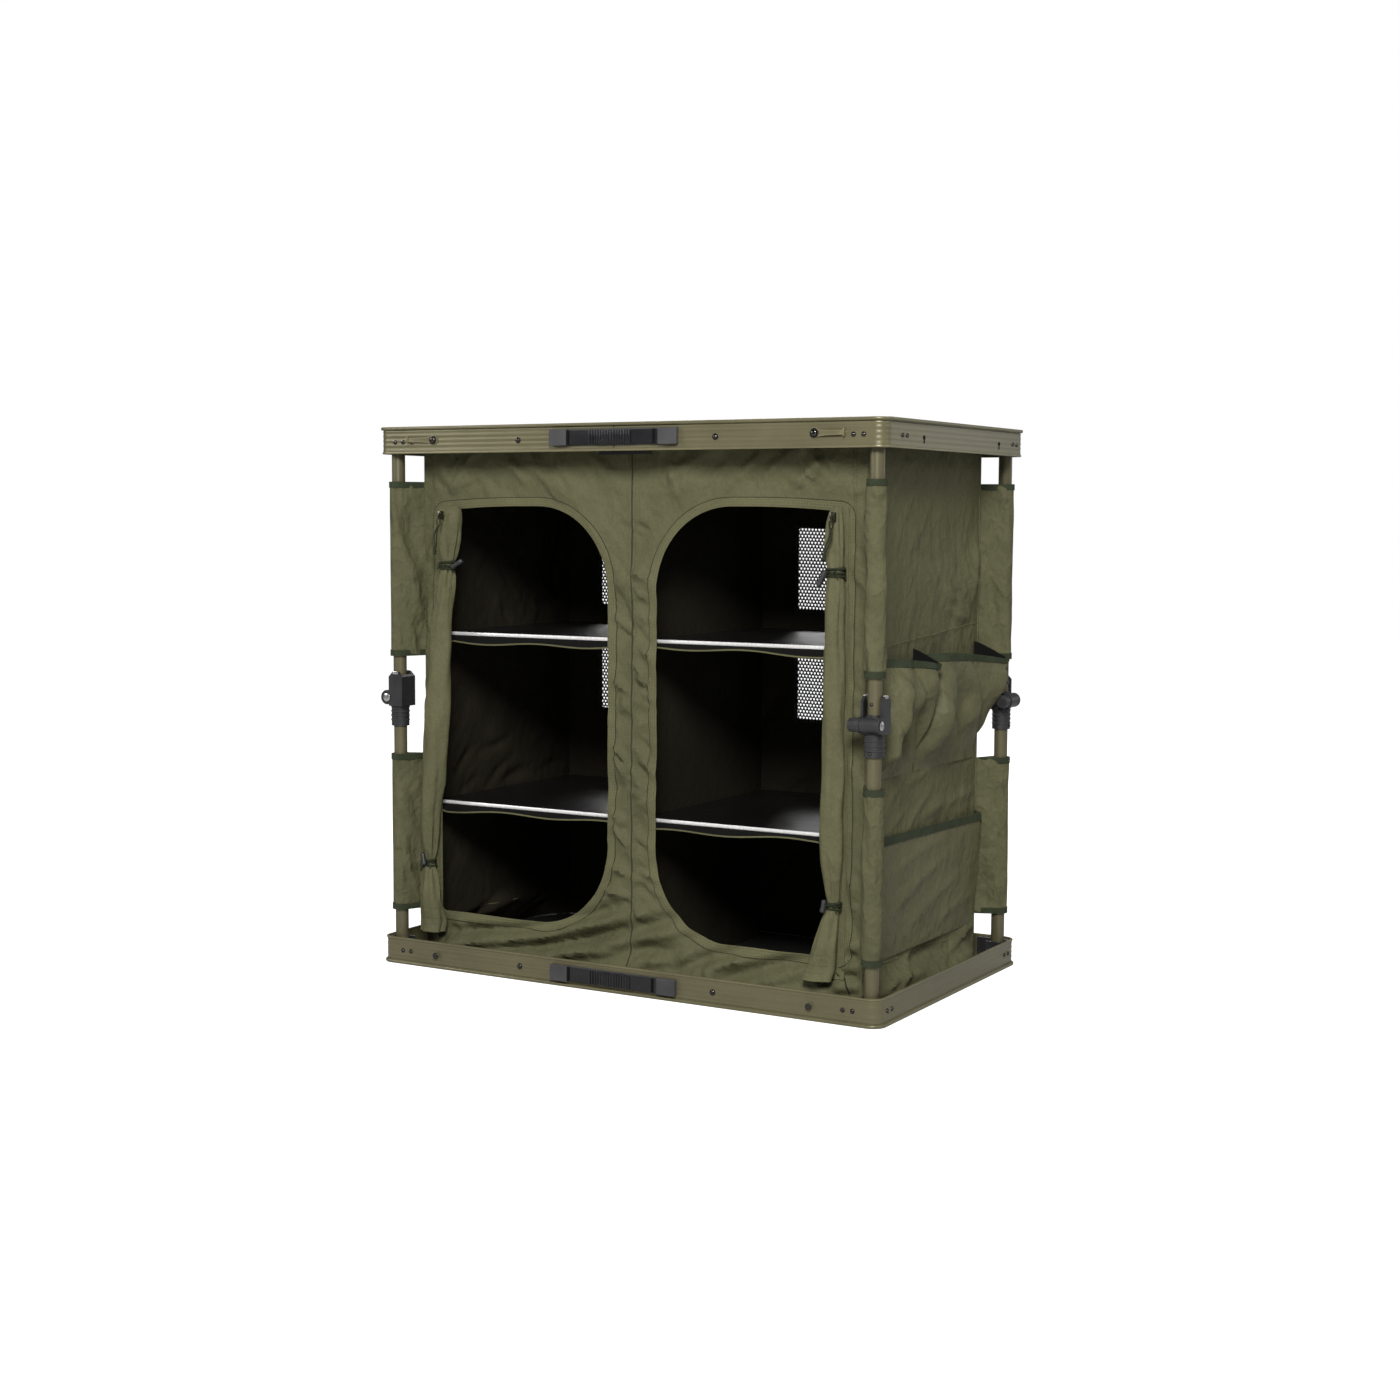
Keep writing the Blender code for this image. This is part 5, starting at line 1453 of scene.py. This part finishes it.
def keyhole(side, y, z):
    """A keyhole slot in the rail's side, drawn as a thin near-black round head over a narrow slot: painted
    shade in the hole.
    """
    x = side * (FACE_X - 0.0002)
    profile = [(0.0030, 0.0), (0.0032, 0.0005), (0.0024, 0.0006)]
    head = turned(profile, (x, y, z + 0.002), (side, 0, 0), SEAM_AND_SHADE_BLACK, 16)
    low, high = sorted((x, x + side * 0.0007))
    slot = block((low, y - 0.0013, z - 0.0052), (high, y + 0.0013, z + 0.002), SEAM_AND_SHADE_BLACK, 0.0003)
    return joined("keyhole", [head, slot])


def make_latch(name, side):
    """A latch arm pivoted on a large rivet, its far end cranked outwards to a T-shaped hook."""
    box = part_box(f"latch_{name}")
    pivot_x = side * (FACE_X - LATCH_FROM_SIDE)
    z = HEIGHT - RAIL_HEIGHT / 2
    face = MIDDLE_Y - FACE_Y - 0.0013
    reach = (box[1].x - box[0].x) - 0.006
    stations = [(-0.0045, 0.0032, 0.0), (0.0, 0.0050, 0.0), (0.006, 0.0046, 0.0), (0.0142, 0.0037, 0.0014)]
    stations += [(0.024, 0.0032, 0.0021), (0.030, 0.0030, 0.0023), (0.036, 0.0030, 0.0022)]
    stations.append((reach, 0.0029, 0.0020))
    points = []
    for along, half, out in stations:
        for height in (-half, -half * 0.4, half * 0.4, half):
            points.append((pivot_x + side * along, face - out, z + height))
    arm = thickened(object_of("arm", points, grid_faces(4, len(stations)), PAINT, 40), 0.0016)
    end = pivot_x + side * reach
    low, high = sorted((end - side * 0.0016, end))
    hook = block((low, face - 0.0045, z - 0.0052), (high, face + 0.0006, z + 0.0052), PAINT, 0.0004)
    head = rivet((pivot_x, face - 0.0009, z), (0, -1, 0), 0.0048)
    profile = [(0.0066, 0.0), (0.0068, 0.0008), (0.0060, 0.0011)]
    washer = turned(profile, (pivot_x, face + 0.0011, z), (0, -1, 0), PAINT, 20)
    return joined(f"latch_arm_{name}", [arm, hook, head, washer])


def dress(node, material, bevel, segments=2):
    """A CAD node with a finer finish: its own material, and bevels worked into its hard edges."""
    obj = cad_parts[node]
    obj.data.materials.clear()
    obj.data.materials.append(material)
    weld = obj.modifiers.new("weld", "WELD")
    weld.merge_threshold = 0.00001
    made = obj.modifiers.new("bevel", "BEVEL")
    made.width = bevel
    made.segments = segments
    made.limit_method = "ANGLE"
    made.angle_limit = math.radians(35)
    normals = obj.modifiers.new("normals", "WEIGHTED_NORMAL")
    normals.keep_sharp = False
    obj.data.shade_smooth()


CORNERS = ("front_left", "front_right", "back_right", "back_left")


def dress_hardware():
    """Finishes of the pieces that are shown as the part has them."""
    for corner in CORNERS:
        for part in ("base_bracket", "top_bracket"):
            dress(f"{part}_{corner}", PLASTIC, 0.0006)
        for part in ("lower_knuckle", "upper_knuckle"):
            dress(f"{part}_{corner}", PLASTIC, 0.0005)
        for part in ("lower_tube", "upper_tube"):
            dress(f"{part}_{corner}", TUBE_PAINT, 0.0003, 1)
        dress(f"knuckle_pin_{corner}", STEEL, 0.0004)
    for level in ("base", "top"):
        dress(f"{level}_handle_plate", HANDLE, 0.0009, 3)
        dress(f"{level}_handle_grip", RUBBER, 0.00035)
    for name in SIDES:
        dress(f"latch_stud_{name}", DARK_STEEL, 0.0003)
        for row in ("upper", "lower"):
            dress(f"shelf_board_{row}_{name}", SHELF, 0.0005)
    dress("top_panel", WORKTOP, 0.0003)
    dress("base_panel", BASE_BOARD, 0.0003)


def band(z, inner, outer, chamfer, height):
    """A raised ring round a leg's axis."""
    profile = [(inner, 0.0), (outer, chamfer), (outer, height - chamfer), (inner, height)]
    return turned(profile, (0, 0, z), (0, 0, 1), PLASTIC, 24)


def knuckle_details(corner, quarter):
    """Ridges, ribs and rivets on one knuckle, modelled for the front left corner and turned to its own."""
    low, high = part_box(f"lower_tube_{corner}")
    place = Matrix.Translation(((low.x + high.x) / 2, (low.y + high.y) / 2, KNEE_Z))
    place = place @ Matrix.Rotation(math.pi / 2 * quarter, 4, "Z")
    lower = [band(-0.034 + i * 0.0062, 0.0126, 0.0136, 0.0008, 0.0030) for i in range(5)]
    for near, far in ((-0.0158, -0.0122), (0.0122, 0.0158)):
        lower.append(block((-0.0026, near, 0.0335), (0.0078, far, 0.0378), STEEL, 0.0009))
    lower.append(rivet((-0.0128, 0, -0.036), (-1, 0, 0), 0.0019))
    half = Vector((0.0008, 0.0060, 0.0011))
    for k in range(14):
        angle = 2 * math.pi * k / 14
        spot = Vector((0.0083 * math.cos(angle) - KNEE_PIN_OUT, 0.0225, 0.0083 * math.sin(angle)))
        lower.append(block(spot - half, spot + half, PLASTIC, 0.0004, Matrix.Rotation(-angle, 4, "Y")))
    cap = [(0.0080, 0.0), (0.0084, 0.0006), (0.0078, 0.0016), (0.0030, 0.0020)]
    cover = [(0.0087, 0.0), (0.0088, 0.0004), (0.0088, 0.0120), (0.0087, 0.0124)]
    for profile, y in ((cap, 0.0276), (cover, 0.0159)):
        lower.append(turned(profile, (-KNEE_PIN_OUT, y, 0), (0, 1, 0), PLASTIC, 24))
    made = joined(f"knuckle_trim_{corner}", lower)
    made.data.transform(place)
    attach(made, f"lower_leg_{corner}")
    upper = [rivet((-0.0095, 0, 0.026), (-1, 0, 0), 0.0020)]
    upper += [band(z, 0.0116, 0.0121, 0.0006, 0.0024) for z in (0.0045, 0.0090)]
    made = joined(f"collar_trim_{corner}", upper)
    made.data.transform(place)
    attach(made, f"upper_leg_{corner}")


def soft(obj, *nodes):
    """A soft piece on the base, in place of CAD nodes."""
    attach(obj, "base")
    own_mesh(obj)
    if nodes:
        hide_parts(*nodes)
    return obj


def soften(*pieces):
    """Soft pieces that stand for no CAD node."""
    for piece in pieces:
        soft(piece)


def surface_area(obj):
    """Half of the piece's surface, which for a thin sheet is its flat area."""
    shape = bmesh.new()
    shape.from_mesh(obj.data)
    total = sum(face.calc_area() for face in shape.faces)
    shape.free()
    return total / 2


def sheet(cloth, width):
    """Return the cloth as it is; width is not used."""
    return cloth


def build_walls():
    """The front and back walls with all that is sewn to them, the nets and the divider."""
    front = make_front()
    soft(front[0], "front_panel")
    soften(*front[1:])
    sheet(front[0], 2 * BODY_X)
    back, boxes = make_back()
    soft(back[0], "back_wall")
    soften(*back[1:])
    sheet(back[0], 2 * BODY_X)
    for (row, name), net in make_nets(boxes).items():
        soft(net, f"mesh_window_{row}_{name}")
        left, right, low, high = grown(boxes[row, name], NET_SEAM)
        sheet(net, right - left)
    sheet(soft(make_divider(), "divider"), 2 * BODY_Y)


def build_side(name, side):
    """A side wall with its pockets and sleeves."""
    wall, seams = make_side(name, side)
    soft(wall, f"side_wall_{name}")
    soft(seams)
    sheet(wall, 2 * BODY_Y)
    spans = {"flat": (FLAT_POCKET_LOW, FLAT_POCKET_HIGH), "low": SLEEVE_SPANS[0], "high": SLEEVE_SPANS[1]}
    pieces = [(kind, *pair) for kind, pair in make_pockets(name, side).items()]
    pieces += [(level, *pair) for (level, _), pair in make_sleeves(name, side).items()]
    for kind, cloth, trim in pieces:
        soften(cloth, trim)
        low, high = spans.get(kind, (POCKET_LOW, POCKET_HIGH))
        sheet(cloth, surface_area(cloth) / (high - low))


def build_door(name):
    """A rolled door with its ties and zip."""
    cloth, hem = make_roll(name)
    soft(cloth, f"door_roll_{name}")
    soft(hem)
    sheet(cloth, OPENING_OUTER - OPENING_INNER + DOOR_SEAM)
    soften(make_tie(name, "high", TIE_HIGH, 5, 0.013), make_tie(name, "low", TIE_LOW, 4, 0.010))
    soften(*make_zip(name))


def build_shelf(row, name, side):
    """A shelf's sling and bright edge, which come down with it."""
    body = f"{row}_shelves"
    cloth, hem = (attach(piece, body) for piece in make_sling(row, name, side))
    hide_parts(f"shelf_sling_{row}_{name}")
    sheet(cloth, BODY_X)
    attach(make_edge_strip(row, name, side), body)


def grip_details(level):
    """Near-black blocks in the gaps at a grip's ends, as painted shade, and the ribs along it."""
    low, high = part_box(f"{level}_handle_grip")
    made = []
    # Painted shade: near-black blocks filling the gaps at both ends
    for start in (low.x + 0.0003, high.x - 0.0075):
        corner = (start, low.y - 0.0004, low.z - 0.0003)
        made.append(block(corner, (start + 0.0030, high.y, high.z + 0.0003), SEAM_AND_SHADE_BLACK, 0.0003))
    for k in range(16):
        start = low.x + (high.x - low.x) * (0.26 + 0.44 * k / 15)
        corner = (start - 0.0008, low.y - 0.0006, low.z - 0.0004)
        made.append(block(corner, (start + 0.0008, low.y + 0.003, high.z + 0.0004), RUBBER, 0.0003))
    return joined(f"{level}_grip_gap_shade_and_ribs", made)


def build_frames():
    """The rail frames, grips, latches and knuckles."""
    for body in ("base", "top"):
        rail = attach(make_rail(f"{body}_rail_frame", body == "top"), body)
        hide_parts(f"{body}_rail")
        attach(rail_rivets(body), body)
        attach(grip_details(body), f"{body}_grip")
    for name, side in SIDES.items():
        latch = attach(make_latch(name, side), f"latch_{name}")
        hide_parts(f"latch_{name}")
    dress_hardware()
    for quarter, corner in enumerate(CORNERS):
        knuckle_details(corner, quarter)


def build():
    build_walls()
    for name, side in SIDES.items():
        build_side(name, side)
        build_door(name)
        for row in ("upper", "lower"):
            build_shelf(row, name, side)
    build_frames()


# Floor, light and camera
def make_stage():
    """A white floor that gives off light of its own to the camera only."""
    reach = 12.0
    corners = [(x, y, 0) for x, y in rectangle(-reach, reach, -reach, reach)]
    floor = object_of("floor", corners, [(0, 1, 2, 3)], ())
    floor.location.z = -0.0004
    made, tree, shader, place = new_material("floor_white")
    tint = ramp(tree, noise_of(tree, place, 3.0), (0.3, (0.50, 0.50, 0.50)), (0.7, (0.54, 0.54, 0.54)))
    tree.links.new(tint, shader.inputs["Base Color"])
    shader.inputs["Roughness"].default_value = 0.9
    shader.inputs["Specular IOR Level"].default_value = 0.0
    tree.links.new(seen_directly(tree, 0.935), shader.inputs["Emission Strength"])
    shader.inputs["Emission Color"].default_value = (1, 1, 1, 1)
    floor.data.materials.append(made)


def seen_directly(tree, strength):
    """A strength that only the camera's own rays see."""
    path = add(tree, "ShaderNodeLightPath")
    return math_node(tree, "MULTIPLY", path.outputs["Is Camera Ray"], strength)


def make_world(ambient=0.14):
    """A white studio that the camera sees in full and that lights the object only softly."""
    world = bpy.data.worlds.new("studio")
    bpy.context.scene.world = world
    world.use_nodes = True
    tree = world.node_tree
    background = tree.nodes["Background"]
    background.inputs["Color"].default_value = (1, 1, 1, 1)
    extra = seen_directly(tree, 1 - ambient)
    tree.links.new(math_node(tree, "ADD", extra, ambient), background.inputs["Strength"])


def lamp(name, place, target, size, power):
    """A square lamp at a place, aimed at a target."""
    data = bpy.data.lights.new(name, "AREA")
    data.shape = "RECTANGLE"
    data.size = data.size_y = size
    data.energy = power
    made = linked(name, data)
    made.location = place
    heading = Vector(target) - Vector(place)
    made.rotation_euler = heading.to_track_quat("-Z", "Y").to_euler()


def make_camera():
    """The photograph's camera."""
    data = bpy.data.cameras.new("camera")
    data.sensor_width = SENSOR
    data.lens = SENSOR * CAMERA_FOCAL_PIXELS / PHOTO_WIDTH
    made = linked("camera", data)
    turn = Matrix.Rotation(math.radians(CAMERA_TURN), 4, "Z")
    tilt = Matrix.Rotation(math.radians(90 - CAMERA_DOWN), 4, "X")
    roll = Matrix.Rotation(math.radians(CAMERA_ROLL), 4, "Z")
    made.matrix_world = Matrix.Translation(CAMERA_PLACE) @ turn @ tilt @ roll
    bpy.context.scene.camera = made


build()
make_stage()
make_world()
lamp("key", (1.53, -3.01, 2.35), (0, 0, 0.4), 1.0, 166)
lamp("left", (-2.4, -2.0, 1.6), (0, 0, 0.4), 0.9, 26)
lamp("side", (2.8, 0.4, 1.8), (0.3, 0, 0.4), 0.9, 12)
lamp("rim", (1.9, 2.9, 1.0), (0.4, 0, 0.45), 1.2, 6)
lamp("back", (-1.4, 2.8, 1.9), (0, 0, 0.4), 1.0, 44)
lamp("top", (0.3, 0.2, 2.8), (0, 0, 0.5), 1.6, 12)
make_camera()
bpy.context.scene.view_settings.view_transform = "Standard"
